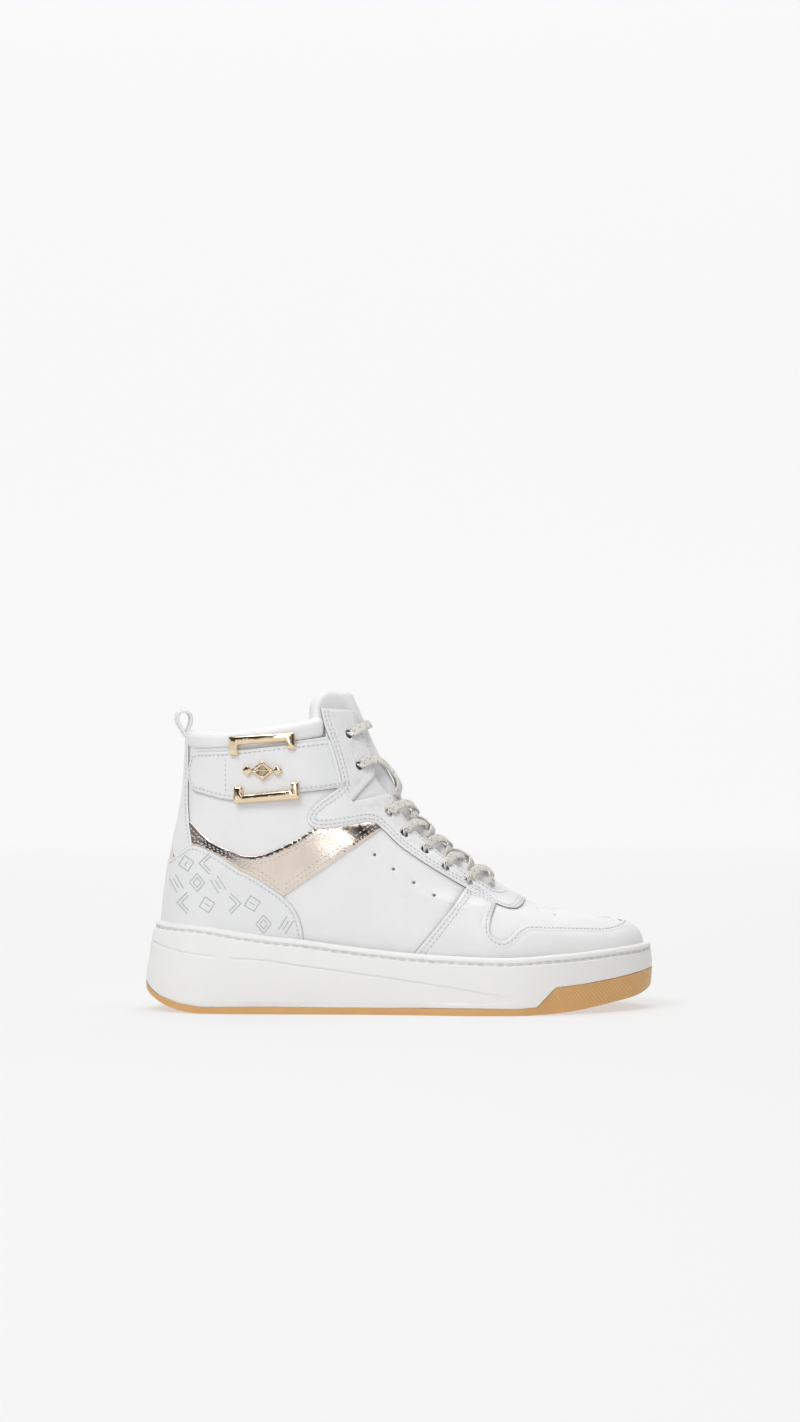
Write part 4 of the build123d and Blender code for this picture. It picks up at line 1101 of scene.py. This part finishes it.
def make_stitching():
    """Every visible sewn row of the upper."""
    part = Part()
    eyestay = np.concatenate([smooth(EYESTAY_REAR), smooth(EYESTAY_HOOK)[1:]])
    seam = np.concatenate([smooth([SEAM_FOOT, SEAM_TOP]),
                           smooth([SEAM_TOP, (187.3, 65.2), (194.9, 61.0)])[1:]])
    rows = [("toe", eyestay, 1.9), ("toe", eyestay, 4.1), ("toe", smooth(THROAT_TOP), -1.9),
            ("toe", smooth(THROAT_LOWER), -1.9), ("toe", seam, -2.0), ("toe", seam, -4.4),
            ("toe", smooth(MUDGUARD_EDGE), -2.0), ("heel", smooth(COUNTER_TOP), -2.2)]
    for side, _ in SIDES:
        for kind, line, distance in rows:
            to_map = toe_map if kind == "toe" else heel_map
            path = front_clip(to_map(line, side, EYESTAY_OFFSET))
            stitch_row(part, kind, beside(kind, path, distance, EYESTAY_OFFSET, side), EYESTAY_OFFSET)
        stay = until(backstay_edge(), counter_edge()) * [side, 1]
        stitch_row(part, "heel", beside("heel", stay, -1.8, EYESTAY_OFFSET, side), EYESTAY_OFFSET)
    part.build("upper_stitching", [THREAD])
    make_gold_stitching()
    part = Part()
    path = np.concatenate([until(smooth(STRAP_TOP), smooth(EYESTAY_REAR))[::-1], smooth(STRAP_LEFT)[1:],
                           until(smooth(STRAP_FOOT), smooth(EYESTAY_REAR))[1:]])
    path = heel_map(path, LATERAL, STRAP_OFFSET)
    stitch_row(part, "heel", beside("heel", path, 2.0, STRAP_OFFSET, LATERAL), STRAP_OFFSET, pitch=2.7)
    cross = heel_map(smooth([(45.2, 142.6), (45.4, 120.6)]), LATERAL, STRAP_OFFSET)
    stitch_row(part, "heel", cross, STRAP_OFFSET, pitch=2.7)
    part.build("strap_stitching", [THREAD])


def make_gold_stitching():
    part = Part()
    for side, _ in SIDES:
        flip = [side, 1]
        hook = heel_map(smooth(EYESTAY_HOOK[4:]), side, EYESTAY_OFFSET)
        stay = backstay_edge() * flip
        counter = counter_edge() * flip
        top = heel_map(smooth(GOLD_TOP), side, EYESTAY_OFFSET)
        front = heel_map(smooth([GOLD_CORNER, GOLD_FRONT]), side, EYESTAY_OFFSET)
        for distance in (2.2, 4.6):
            row = beside("heel", top, -distance, EYESTAY_OFFSET, side)
            stitch_row(part, "heel", until(after(row, stay), hook), EYESTAY_OFFSET, 2.6)
            row = beside("heel", front, distance, EYESTAY_OFFSET, side)
            low = beside("heel", counter, distance, EYESTAY_OFFSET, side)
            stitch_row(part, "heel", until(after(low, stay), row), EYESTAY_OFFSET, 2.6)
            stitch_row(part, "heel", until(after(row, low), hook), EYESTAY_OFFSET, 2.6)
    part.build("gold_band_stitching", [THREAD])


# ---------------------------------------------------------------- emboss, hardware

def box_corners(x, z, length, height):
    half, tall = length / 2, height / 2
    return [(x - half, z - tall), (x + half, z - tall), (x + half, z + tall), (x - half, z + tall)]


def lozenge(x, z, half_x, half_z):
    return [(x - half_x, z), (x, z + half_z), (x + half_x, z), (x, z - half_z)]


def polygon_path(points):
    return np.concatenate([smooth([points[k], points[(k + 1) % len(points)]], 0.8)[:-1]
                           for k in range(len(points))])


def plate(part, points, side, low, high, edge, holes=(), pitch=0.8, slots=(0, 1)):
    """Small flat piece on the surface from a side-view polygon."""
    loop = heel_map(polygon_path(points), side, high)
    openings = [resample("heel", heel_map(polygon_path(h), side, high), high, pitch) for h in holes]
    panel_mesh(part, "heel", loop, low, high, edge, 2.0, openings, pitch=pitch, slots=slots,
               rings=(0.15, 0.5, 1.0))


def make_emboss():
    """Plain geometric motifs pressed on the heel counter: lozenges, angle brackets and short bars, coloured a
    darker grey that is painted shade of the pressed lines.
    """
    for side, name in SIDES:
        part = Part()
        draw = random.Random(11)
        edge = counter_edge()
        for line, z in enumerate(np.arange(49.0, 92, 11.4)):
            for column in range(7):
                x = 17.5 + 12.2 * column + (6.1 if line % 2 else 0) + draw.uniform(-0.8, 0.8)
                height = z + draw.uniform(-0.6, 0.6)
                kind = (line + 2 * column) % 4
                turn = math.radians(draw.choice((-45, 135) if kind == 1 else (-58, -32, 32, 58)))
                near = heel_map([(x, height)], MEDIAL, EYESTAY_OFFSET)
                near_3d = surface("heel", near, EYESTAY_OFFSET)
                edge_3d = surface("heel", edge, EYESTAY_OFFSET)
                if segment_distance(near_3d, edge_3d[:-1], edge_3d[1:])[0] < 6.0:
                    continue
                if not inside(near, counter_outline())[0] or height < straight_line(RIM, x) + 4.0:
                    continue
                add_motif(part, kind, x, height, turn, side)
        part.build(f"{name}_counter_emboss", [COUNTER, MOTIF_SHADE])


def outline_frame(part, outline, hole, side):
    """Thin raised outline built from one strip along each side."""
    for k in range(len(outline)):
        a, b = outline[k], outline[(k + 1) % len(outline)]
        c, d = hole[(k + 1) % len(hole)], hole[k]
        plate(part, [a, b, c, d], side, MOTIF_LOW, MOTIF_HIGH, 0.08, slots=(1, 1))


def add_motif(part, kind, x, z, turn, side):
    """One raised figure: nested lozenges, nested angles, three bars or a square with a bar."""
    c, s = math.cos(turn), math.sin(turn)

    def turned(shape):
        return [(x + a * c - b * s, z + a * s + b * c) for a, b in shape]

    def bars(*boxes):
        for box in boxes:
            plate(part, turned(box_corners(*box)), side, MOTIF_LOW, MOTIF_HIGH, 0.08, slots=(1, 1))

    if kind == 0:
        outline_frame(part, lozenge(x, z, 4.6, 5.4), lozenge(x, z, 4.0, 4.7), side)
        outline_frame(part, lozenge(x, z, 2.5, 3.0), lozenge(x, z, 1.9, 2.3), side)
    elif kind == 1:
        bars((0, -4, 8.6, 0.55), (-4, 0.3, 0.55, 8.0), (0.6, -2.3, 6.0, 0.55), (-2.3, 0.9, 0.55, 5.8))
    elif kind == 2:
        bars((0, -2.2, 9.0, 0.55), (0, 0, 6.0, 0.55), (0, 2.2, 9.0, 0.55))
    else:
        outline_frame(part, turned(box_corners(0, 0, 6.8, 6.8)), turned(box_corners(0, 0, 5.7, 5.7)), side)
        bars((0, 0, 3.4, 0.55))


def straight_line(points, x):
    """Height of a side-view line of straight runs."""
    return np.interp(x, *np.array(points, float).T)


def bar_frame(corners, legs):
    """Outline of a bar with a leg turned over each end."""
    (ax, az), (bx, bz) = corners
    al, bl = legs
    down = 1 if al > 0 else -1
    w = 4.6
    return [(ax, az), (bx, bz), (bx + 0.3 * down, bz - bl), (bx + 0.3 * down - w, bz - bl),
            (bx - w, bz - w * down), (ax + w, az - w * down), (ax + w + 0.2, az - al), (ax + 0.2, az - al)]


def make_hardware():
    """Bevelled metal corner bars and a plain lozenge ornament on the strap."""
    frames = (("upper_bracket", [(46.8, 153.1), (83.6, 155.4)], (10.2, 9.0)),
              ("lower_bracket", [(49.3, 116.3), (86.0, 119.1)], (-9.0, -9.0)))
    for node, corners, legs in frames:
        part = Part()
        plate(part, bar_frame(corners, legs), LATERAL, METAL_LOW, METAL_HIGH, 1.0, slots=(0, 0))
        part.build(node + "_metal", [METAL], [node])
    x, z = 65.5, 134.4
    part = Part()
    plate(part, lozenge(x, z, 6.6, 5.3), LATERAL, METAL_LOW, METAL_HIGH, 0.7, [lozenge(x, z, 3.7, 2.9)],
          slots=(0, 0))
    for shift in (-8.3, 8.3):
        plate(part, lozenge(x + shift, z, 3.0, 3.0), LATERAL, 1.95, 4.3, 0.7, slots=(0, 0))
    plate(part, box_corners(x, z, 14, 1.2), LATERAL, 1.96, 3.9, 0.3, slots=(0, 0))
    part.build("ornament_metal", [METAL], ["ornament"])


# ---------------------------------------------------------------- sole

def sole_points(u, side, z, inset):
    """Points of the sole's side surface, moved inward by the inset."""
    levels = np.array(SOLE_LEVELS)
    position = np.interp(z, levels[:, 0], np.arange(len(levels)))
    heel, toe, spread = (blend(levels[:, k], position) for k in (1, 2, 3))
    along = (1 - np.cos(np.pi * u)) / 2
    x = heel + inset + (toe - heel - 2 * inset) * along
    width = np.where(side < 0, blend(SOLE_LATERAL, u * 6), blend(SOLE_MEDIAL, u * 6)) + spread - inset
    y = side * width * np.sin(np.pi * u) + TOE_DRIFT * along ** 4
    return np.stack([x, y, z], 1)


def line_at(points, x):
    """Height of a smooth side-view line."""
    return np.interp(x, *np.array(smooth(points)).T)


def trench(gap, depth, half):
    """Depth of a soft-shouldered groove at a distance from its middle."""
    return depth * np.exp(-(gap / half) ** 4)


def sole_relief(x, z, top):
    """Depth pressed into the sidewall at side-view places."""
    depth = trench(z - (top - STITCH_DROP), 1.0, 0.95)
    heel = (x < 41) * np.clip((41 - x) / 3, 0, 1)
    depth = np.maximum(depth, heel * trench(z - line_at(HEEL_GROOVE, x), 0.9, 0.55))
    mid = np.clip((x - 47) / 2.5, 0, 1) * np.clip((205 - x) / 18, 0, 1)
    upper = line_at(WEDGE_GROOVE + [(205, 9.2)], x)
    depth = np.maximum(depth, mid * trench(z - upper, 0.9, 0.55))
    floor = np.interp(x, [150, 160, 185, 205], [9.6, 6.5, 6.0, 7.2])
    wedge = np.clip((x - 152) / 8, 0, 1) * np.clip((205 - x) / 10, 0, 1)
    hollow = np.clip((upper - z) / 0.6, 0, 1) * np.clip((z - floor) / 0.6, 0, 1)
    depth = np.maximum(depth, 0.75 * wedge * hollow)
    step = np.clip((x - 24) / 20, 0, 1) * np.clip((160 - x) / 10, 0, 1)
    return depth + 0.35 * step * np.clip((6.4 - z) / 0.4, 0, 1)


def make_cupsole():
    """Moulded cupsole: rounded rim bead, stitch channel, pressed side lines and a toe bumper seat."""
    part = Part()
    count = 520
    s = np.linspace(-1, 1, count, endpoint=False)
    u, side = np.abs(s), np.where(s < 0, -1.0, 1.0)
    levels = np.concatenate([np.linspace(0, 0.80, 74)[:-1], np.linspace(0.80, 1, 44)])
    rows = []
    for share in levels:
        z = np.full(count, 30.0)
        for _ in range(3):
            x = sole_points(u, side, z, 0.0)[:, 0]
            top = line_at(RIM, x)
            low = straight_line(GUM_TOP, x) + 0.06
            z = low + (top - low) * share
        bead = 1.7
        from_top = top - z
        round_in = bead - np.sqrt(np.maximum(bead ** 2 - np.maximum(bead - from_top, 0) ** 2, 0))
        foot = 0.35 * np.clip(1 - (z - low) / 0.5, 0, 1) ** 2
        rows.append(sole_points(u, side, z, round_in + foot + sole_relief(x, z, top)))
    for inset, drop in ((2.6, 0.05), (3.6, 0.5), (4.6, 1.6), (5.4, 3.4), (5.7, 6.5)):
        z = top - drop
        rows.append(sole_points(u, side, z, inset))
    for inset, lift in ((5.7, 1.2), (0.6, 0.02)):
        z = low + lift
        rows.append(sole_points(u, side, z, inset))
    add_rings(part, rows)
    part.build("cupsole_rubber", [RUBBER], ["cupsole"])


def add_rings(part, rows):
    """Closed surface of rings, the last joined back to the first."""
    n = len(rows[0])
    faces = []
    for k in range(len(rows)):
        a, b = k * n, ((k + 1) % len(rows)) * n
        for j in range(n):
            i = (j + 1) % n
            faces.append((a + j, b + j, b + i, a + i))
    part.add(np.concatenate(rows), faces)


def make_sole_stitching():
    part = Part()
    s = np.linspace(-1, 1, 1400, endpoint=False)
    u, side = np.abs(s), np.where(s < 0, -1.0, 1.0)
    z = np.full(len(s), 30.0)
    for _ in range(3):
        x = sole_points(u, side, z, 0.0)[:, 0]
        z = line_at(RIM, x) - STITCH_DROP
    points = sole_points(u, side, z, 0.72)
    length = np.concatenate([[0], np.cumsum(np.linalg.norm(np.diff(points, axis=0), axis=1))])
    at = np.arange(0, length[-1] - 3, 5.4)
    centres = np.stack([np.interp(at, length, points[:, k]) for k in range(3)], 1)
    along = tangents(centres, True)
    out = np.cross(along, [0, 0, 1.0])
    middle = centres.mean(0)
    flip = np.sign(((centres - middle) * out).sum(1))
    normal = out * flip[:, None]
    normal /= np.linalg.norm(normal, axis=1)[:, None]
    stitch(part, centres, along, normal, length=4.5, width=0.95, height=0.8, lean=0.02)
    part.build("sole_thread", [SOLE_THREAD], ["sole_stitching"])


# ---------------------------------------------------------------- collar and tongue

def height_round(line, u):
    """Height of a side-view line at places round from the heel."""
    line = smooth(line)
    around = np.abs(heel_map(line, MEDIAL)[:, 0]) / AROUND
    order = np.argsort(around)
    return np.interp(u, around[order], line[order, 1])


def closed_curve(points, count):
    """Even points along a smooth closed curve."""
    p = np.array(points, float)
    ring = smooth(np.concatenate([p[-2:], p, p[:2]]), 0.25)
    start = np.argmin(np.linalg.norm(ring[:len(ring) // 3] - p[0], axis=1))
    end = len(ring) // 2 + np.argmin(np.linalg.norm(ring[len(ring) // 2:] - p[0], axis=1))
    ring = ring[start:end + 1]
    length = np.concatenate([[0], np.cumsum(np.linalg.norm(np.diff(ring, axis=0), axis=1))])
    at = np.linspace(0, length[-1], count, endpoint=False)
    return np.stack([np.interp(at, length, ring[:, k]) for k in range(2)], 1)


def make_collar():
    """Padded roll round the ankle, fullest in its middle, with faint puckers at the seam."""
    part = Part()
    count, sides = 260, 40
    crest = COLLAR_CREST + [COLLAR_HEEL]
    reach = float(np.abs(heel_map([COLLAR_CREST[0]], MEDIAL)[0, 0]) / AROUND)
    s = np.linspace(-reach, reach, count)
    u, side = np.abs(s), np.where(s < 0, -1.0, 1.0)
    top = height_round(crest[::-1], u)
    seam = height_round(COLLAR_SEAM, u)
    row = rows_at_height(u, top - 4)
    base = upper_points(row, u, side, 0.0)
    out = upper_points(row, u, side, 4.0) - base
    out[:, 2] = 0
    out /= np.linalg.norm(out, axis=1)[:, None]
    rings = []
    for k in range(count):
        drop = top[k] - seam[k] - 0.1
        shape = closed_curve([(0.25, -drop), (1.15, -0.6 * drop), (0.75, -2.2), (-0.9, -0.45), (-3.6, 0.05),
                              (-6.9, -1.4), (-8.6, -0.55 * drop), (-8.0, -drop), (-3.6, -drop - 0.6)], sides)
        pucker = 0.16 * math.sin(s[k] * AROUND * 1.9) + 0.1 * math.sin(s[k] * AROUND * 0.7 + 1)
        near_seam = np.exp(-((shape[:, 1] + drop) / 2.2) ** 2)
        shape[:, 0] += pucker * near_seam + 0.22 * math.sin(s[k] * AROUND * 0.11 + 0.6)
        end = min(k, count - 1 - k)
        if end < 5:
            middle = shape.mean(0)
            shape = middle + (shape - middle) * math.sqrt(max(1 - ((5 - end) / 5.2) ** 2, 0.02))
        ring = np.repeat(base[k:k + 1], sides, 0)
        ring[:, :2] += shape[:, :1] * out[k, :2]
        ring[:, 2] = top[k] + shape[:, 1]
        rings.append(ring)
    part.add(np.concatenate(rings), tube_faces(count, sides))
    collar = part.build("collar_roll", [SOFT], ["collar"])


def tongue_swell(q, gap):
    u = 1 - np.abs(q[:, 0]) / AROUND
    rise = np.clip((u - 0.87) / 0.07, 0, 1)
    crown = 3.7 * rise * rise * (3 - 2 * rise)
    crease = 0.28 * np.sin(q[:, 1] * 0.35 + 0.05 * q[:, 0]) * np.clip(gap / 8, 0, 1)
    return crown + crease - 0.5 * np.exp(-((gap - 7.5) / 0.7) ** 2)


def make_tongue():
    part = Part()
    path = np.concatenate([smooth(TONGUE_TOP_EDGE)[::-1], smooth(TONGUE_SIDE)])
    outline = both_sides(front_clip(toe_map(path, MEDIAL, 0.8)))
    panel_mesh(part, "toe", outline, TONGUE_LOW, TONGUE_HIGH, 3.4, 3.0, swell=tongue_swell,
               rings=(0.06, 0.2, 0.45, 0.75, 1.0), slots=(0, 0), grooves=())
    tongue = part.build("tongue_pad", [SOFT], ["tongue", "tongue_top"], body=None)
    hinge, lean = np.array([126.2, 0, 160.5]), np.array([0.211, 0, 0.977])
    start, end = to_world([hinge - 7 * lean, hinge + 7 * lean])
    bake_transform(tongue)


# ---------------------------------------------------------------- laces and loop

def spot(x, z, side, offset):
    return surface("heel", heel_map([(x, z)], side), offset)[0]


def front_rows(x, z):
    rows = np.linspace(0, ROWS - 1, 600)
    gap = (blend(FRONT_X, rows) - x) ** 2 + (blend(FRONT_Z, rows) - z) ** 2
    return rows[int(np.argmin(gap))]


def front_point(row, offset):
    x, z = profile(FRONT_X, FRONT_Z, np.array([row]), offset)
    return float(x[0]), float(z[0])


def strand(near, far, side, lift):
    """Centre line of one strand: up through its eyelet, over the tongue, under the far edge."""
    rn, rf = front_rows(*near), front_rows(*far)
    fx, fz = front_point(rn, 0.0)
    ex, ez = near[0] + (fx - near[0]) * 0.45, near[1] + (fz - near[1]) * 0.45
    places = [spot(*near, side, -1.2), spot(*near, side, 1.6), spot(ex, ez, side, 2.3)]
    for share, height in ((0.3, lift), (0.5, lift + 0.5), (0.7, lift)):
        cx, cz = front_point(rn + (rf - rn) * share, height)
        places.append(np.array([cx, side * (0.5 - share) * 26, cz]))
    bx, bz = front_point(rn + (rf - rn) * 0.86, -2.2)
    places.append(np.array([bx, -side * 9.8, bz]))
    return np.array(places)


def ribbon(part, places, width=5.0, thickness=1.55):
    centres = smooth(places, 0.9)
    along = tangents(centres, False)
    core = np.stack([centres[:, 0] - 26, np.zeros(len(centres)), centres[:, 2] - 20], 1)
    up = centres - core
    up -= along * (up * along).sum(1)[:, None]
    up /= np.linalg.norm(up, axis=1)[:, None]
    across = np.cross(along, up)
    turn = 0.10 * np.sin(np.linspace(0, 7, len(centres)) + rng.uniform(0, 6))[:, None]
    across, up = across + up * turn, up - across * turn
    angle = np.linspace(0, 2 * np.pi, 16, endpoint=False)
    c, s = np.cos(angle), np.sin(angle)
    outline = np.stack([np.sign(c) * np.abs(c) ** 0.75 * width / 2,
                        np.sign(s) * np.abs(s) ** 0.85 * thickness / 2 * (0.8 + 0.2 * np.abs(c))], 1)
    sweep(part, centres, (across, up), outline)


def make_laces():
    part = Part()
    for k in range(1, len(EYELETS) - 1):
        for side, _ in SIDES:
            first = (side == LATERAL) == (k % 2 == 1)
            ribbon(part, strand(EYELETS[k], EYELETS[k + 1], side, 1.9 if first else 3.3))
    x, z = EYELETS[0]
    row = front_rows(x, z)
    fx, fz = front_point(row, 0.0)
    ex, ez = x + (fx - x) * 0.45, z + (fz - z) * 0.45
    half = [spot(x, z, LATERAL, -1.2), spot(x, z, LATERAL, 1.7), spot(ex, ez, LATERAL, 2.8)]
    cx, cz = front_point(row, 3.2)
    other = [p * [1, -1, 1] for p in half[::-1]]
    ribbon(part, np.array(half + [np.array([cx, 0, cz])] + other))
    part.build("lace_strands", [LACE], ["lace"])


def make_pull_loop():
    """Leather band folded into a teardrop behind the collar."""
    part = Part()
    line = smooth(LOOP_LINE, 0.5)
    centres = np.stack([line[:, 0], np.zeros(len(line)), line[:, 1]], 1)
    along = tangents(centres, False)
    yaw = math.radians(10)
    across = np.repeat([[-math.sin(yaw), math.cos(yaw), 0]], len(line), 0)
    centres[:, 1] = (centres[:, 0] - LOOP_PINCH[0]) * math.sin(yaw)
    up = np.cross(along, across)
    half, thick, r = 5.5, 0.68, 0.4
    corner = [(half - r + r * math.cos(a), thick - r + r * math.sin(a)) for a in (0, 0.8, 1.57)]
    quarter = [(x, z) for x, z in corner] + [(2.0, thick), (0, thick)]
    outline = quarter + [(-x, z) for x, z in quarter[-2::-1]]
    outline += [(x, -z) for x, z in outline[::-1]]
    sweep(part, centres, (across, up), np.array(outline))
    part.build("pull_loop_band", [PLAIN], ["pull_loop"], body=LOOP)
    part = Part()
    middle = line.mean(0)
    sign = np.sign(((line - middle)[len(line) // 2] * up[len(line) // 2][[0, 2]]).sum())
    keep = slice(6, -6, 5)
    for reach in (-3.9, 3.9):
        stitch(part, (centres + across * reach + up * sign * (thick + 0.02))[keep], along[keep],
               (up * sign)[keep], length=1.8, width=0.5, height=0.4)
    part.build("pull_loop_stitching", [THREAD], body=LOOP)


# ---------------------------------------------------------------- inside

def make_lining():
    rear = np.concatenate([smooth(COLLAR_SEAM), smooth([COLLAR_SEAM[-1], (99.5, 167.4)]),
                           smooth([(99.5, 167.4), THROAT_TOP[0]]),
                           until(throat_line(), smooth([SEAM_TOP, SEAM_END])),
                           smooth([SEAM_TOP, SEAM_FOOT]), smooth(ground(SEAM_FOOT[0], 4))])
    part = Part()
    holes = [h for side in (LATERAL, MEDIAL) for h in holes_at("heel", EYELETS, side, EYELET_RADIUS, 0)]
    outline = both_sides(heel_map(rear, MEDIAL))
    panel_mesh(part, "heel", outline, LINING_LOW, LINING_HIGH, 0.3, 3.4, holes)
    holes = [h for side in (LATERAL, MEDIAL) for h in holes_at("toe", EYELETS, side, EYELET_RADIUS, 0)]
    panel_mesh(part, "toe", vamp_outline(), LINING_LOW, LINING_HIGH, 0.3, 3.8, holes)
    part.build("lining_cloth_inside", [CLOTH, CLOTH], ["lining"])
    part = Part()
    pad = np.concatenate([smooth([(4, 146.2), (46, 146.2)]), smooth([(46, 146.2), (84, 148.6)]),
                          smooth([(84, 148.6), (84, 124)]), smooth([(84, 124), (4, 124)])])
    panel_mesh(part, "heel", both_sides(heel_map(pad, MEDIAL)), -2.65, -6.1, 3.0, 3.0, slots=(0, 0),
               rings=(0.06, 0.25, 0.55, 1.0))
    cushion = part.build("ankle_cushion", [CLOTH], ["ankle_padding"])


def make_footbed():
    """Cupped insole with a cloth top."""
    part = Part()
    xs = np.linspace(13.5, 270, 90)
    across = np.linspace(-1, 1, 25)
    z = LASTING_Z - LASTING_SLOPE * xs + 5.6
    widths = []
    for side in (LATERAL, MEDIAL):
        q = heel_map(np.stack([xs, z], 1), side, -2.9)
        widths.append(surface("heel", q, -2.9)[:, 1])
    tops, lows = [], []
    for k, x in enumerate(xs):
        share = (across + 1) / 2
        y = widths[0][k] + (widths[1][k] - widths[0][k]) * share
        cup = 2.2 * np.abs(across) ** 5 * np.clip((190 - x) / 90, 0, 1)
        tops.append(np.stack([np.full(25, x), y * 0.995, z[k] + cup], 1))
        lows.append(np.stack([np.full(25, x), y * 0.985, np.full(25, z[k] - 3.6)], 1))
    rows = [np.concatenate([a, b[::-1]]) for a, b in zip(tops, lows)]
    part.add(np.concatenate(rows), tube_faces(len(rows), len(rows[0])))
    part.build("footbed_cloth_top", [BED], ["footbed"])


def dress_cad_nodes():
    """Materials for the CAD nodes that stay: the outsole and the hidden stiffeners and fillers."""
    board = fibre_and_painted_shade("fibre_board", (0.42, 0.36, 0.28))
    foam = rubber("foam_core", (0.74, 0.74, 0.73), 0.8, 0.06)
    steel = gold_metal()
    steel.name = "spring_steel"
    sheath = rubber("lace_sheath", (0.70, 0.62, 0.45), 0.35, 0.05)
    finish = {"outsole": GUM, "midsole_filler": foam, "shank": steel, "insole_board": board,
              "heel_stiffener": board, "toe_puff": board, "lace_tips": sheath}
    for node, material in finish.items():
        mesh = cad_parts[node].data
        mesh.materials.clear()
        mesh.materials.append(material)


# ---------------------------------------------------------------- studio

def area_light(name, place, target, size, power):
    data = bpy.data.lights.new(name, "AREA")
    data.shape = "RECTANGLE"
    data.size, data.size_y = size
    data.energy = power
    lamp = bpy.data.objects.new(name, data)
    lamp.location = place
    lamp.rotation_euler = (Vector(target) - Vector(place)).to_track_quat("-Z", "Y").to_euler()
    bpy.context.scene.collection.objects.link(lamp)


def paper_sweep():
    """Pale studio paper: flat floor that curves up into the backdrop."""
    profile_line = [(-7.0, 0.0), (2.4, 0.0)]
    for k in range(1, 17):
        a = math.pi / 2 * k / 16
        profile_line.append((2.4 + 1.6 * math.sin(a), 1.6 - 1.6 * math.cos(a)))
    profile_line.append((4.0, 7.0))
    verts = [(x, y, z) for y, z in profile_line for x in (-7.0, 7.0)]
    faces = [(2 * k, 2 * k + 1, 2 * k + 3, 2 * k + 2) for k in range(len(profile_line) - 1)]
    mesh = bpy.data.meshes.new("paper_sweep")
    mesh.from_pydata(verts, [], faces)
    mesh.polygons.foreach_set("use_smooth", [True] * len(faces))
    material, _, _, shader, place = new_material("paper")
    shader.inputs["Base Color"].default_value = (*[PAPER_ALBEDO] * 3, 1)
    shader.inputs["Roughness"].default_value = 1.0
    shader.inputs["Specular IOR Level"].default_value = 0.0
    shader.inputs["Emission Color"].default_value = (1, 1, 1, 1)
    nodes, links = material.node_tree.nodes, material.node_tree.links
    split = nodes.new("ShaderNodeSeparateXYZ")
    links.new(place, split.inputs["Vector"])
    depth = ramp_between(nodes, links, split.outputs["Y"], 0.0, 3.4)
    glow = ramp(nodes, links, depth, PAPER_GLOW)
    links.new(glow, shader.inputs["Emission Strength"])
    mesh.materials.append(material)
    paper = bpy.data.objects.new("paper_sweep", mesh)
    bpy.context.scene.collection.objects.link(paper)


PAPER_ALBEDO = 0.34
PAPER_GLOW = [(0.0, (0.53,)), (0.3, (0.63,)), (0.65, (0.735,)), (1.0, (0.775,))]


def dark_card(name, place, size):
    """Black card that only glossy rays meet, so the gold and the metal get dark reflections."""
    half_w, half_h = size[0] / 2, size[1] / 2
    mesh = bpy.data.meshes.new(name)
    mesh.from_pydata([(-half_w, -half_h, 0), (half_w, -half_h, 0), (half_w, half_h, 0), (-half_w, half_h, 0)],
                     [], [(0, 1, 2, 3)])
    material, _, _, shader, _ = new_material(name)
    shader.inputs["Base Color"].default_value = (0.012, 0.01, 0.009, 1)
    shader.inputs["Roughness"].default_value = 1.0
    mesh.materials.append(material)
    card = bpy.data.objects.new(name, mesh)
    card.location = place
    card.rotation_euler = (Vector((0, 0, 0.1)) - Vector(place)).to_track_quat("-Z", "Y").to_euler()
    card.visible_camera = False
    card.visible_diffuse = False
    card.visible_shadow = False
    card.visible_transmission = False
    bpy.context.scene.collection.objects.link(card)


def make_studio():
    """Soft boxes above, in front and to the left, over glowing pale paper."""
    scene = bpy.context.scene
    scene.view_settings.view_transform = "Standard"
    world = bpy.data.worlds.new("studio")
    world.use_nodes = True
    world.node_tree.nodes["Background"].inputs["Color"].default_value = (1.0, 1.0, 1.0, 1)
    world.node_tree.nodes["Background"].inputs["Strength"].default_value = 0.22
    scene.world = world
    paper_sweep()
    area_light("key", (-0.8, -1.3, 1.7), (0, 0, 0.06), (1.2, 0.9), 22)
    area_light("top", (0.15, 0.1, 1.9), (0, 0, 0.05), (1.6, 1.2), 17)
    area_light("front", (0.0, -2.4, 0.6), (0, 0, 0.08), (0.5, 1.0), 6)
    dark_card("card_left", (-1.15, -1.6, 0.35), (1.3, 1.7))
    dark_card("card_right", (1.0, -1.75, 0.45), (0.95, 1.6))
    dark_card("card_high", (0.0, -1.9, 1.75), (2.2, 0.7))


CAMERA_TURN, CAMERA_RISE = -1.5, 0.0
CAMERA_DISTANCE = 1.77
AIM = (0.0, 0.0, 0.167)
VIEW_HEIGHT = 0.800


def make_camera():
    turn, rise = math.radians(CAMERA_TURN), math.radians(CAMERA_RISE)
    data = bpy.data.cameras.new("camera")
    data.lens = 36 * CAMERA_DISTANCE / VIEW_HEIGHT
    camera = bpy.data.objects.new("camera", data)
    back = Vector((math.sin(turn) * math.cos(rise), -math.cos(turn) * math.cos(rise), math.sin(rise)))
    camera.location = Vector(AIM) + back * CAMERA_DISTANCE
    camera.rotation_euler = (-back).to_track_quat("-Z", "Y").to_euler()
    data.clip_end = 50
    bpy.context.scene.collection.objects.link(camera)
    bpy.context.scene.camera = camera


make_camera()
make_studio()
make_shell()
make_overlays()
make_strap()
make_stitching()
make_emboss()
make_hardware()
make_cupsole()
make_sole_stitching()
make_collar()
make_tongue()
make_laces()
make_pull_loop()
make_lining()
make_footbed()
dress_cad_nodes()
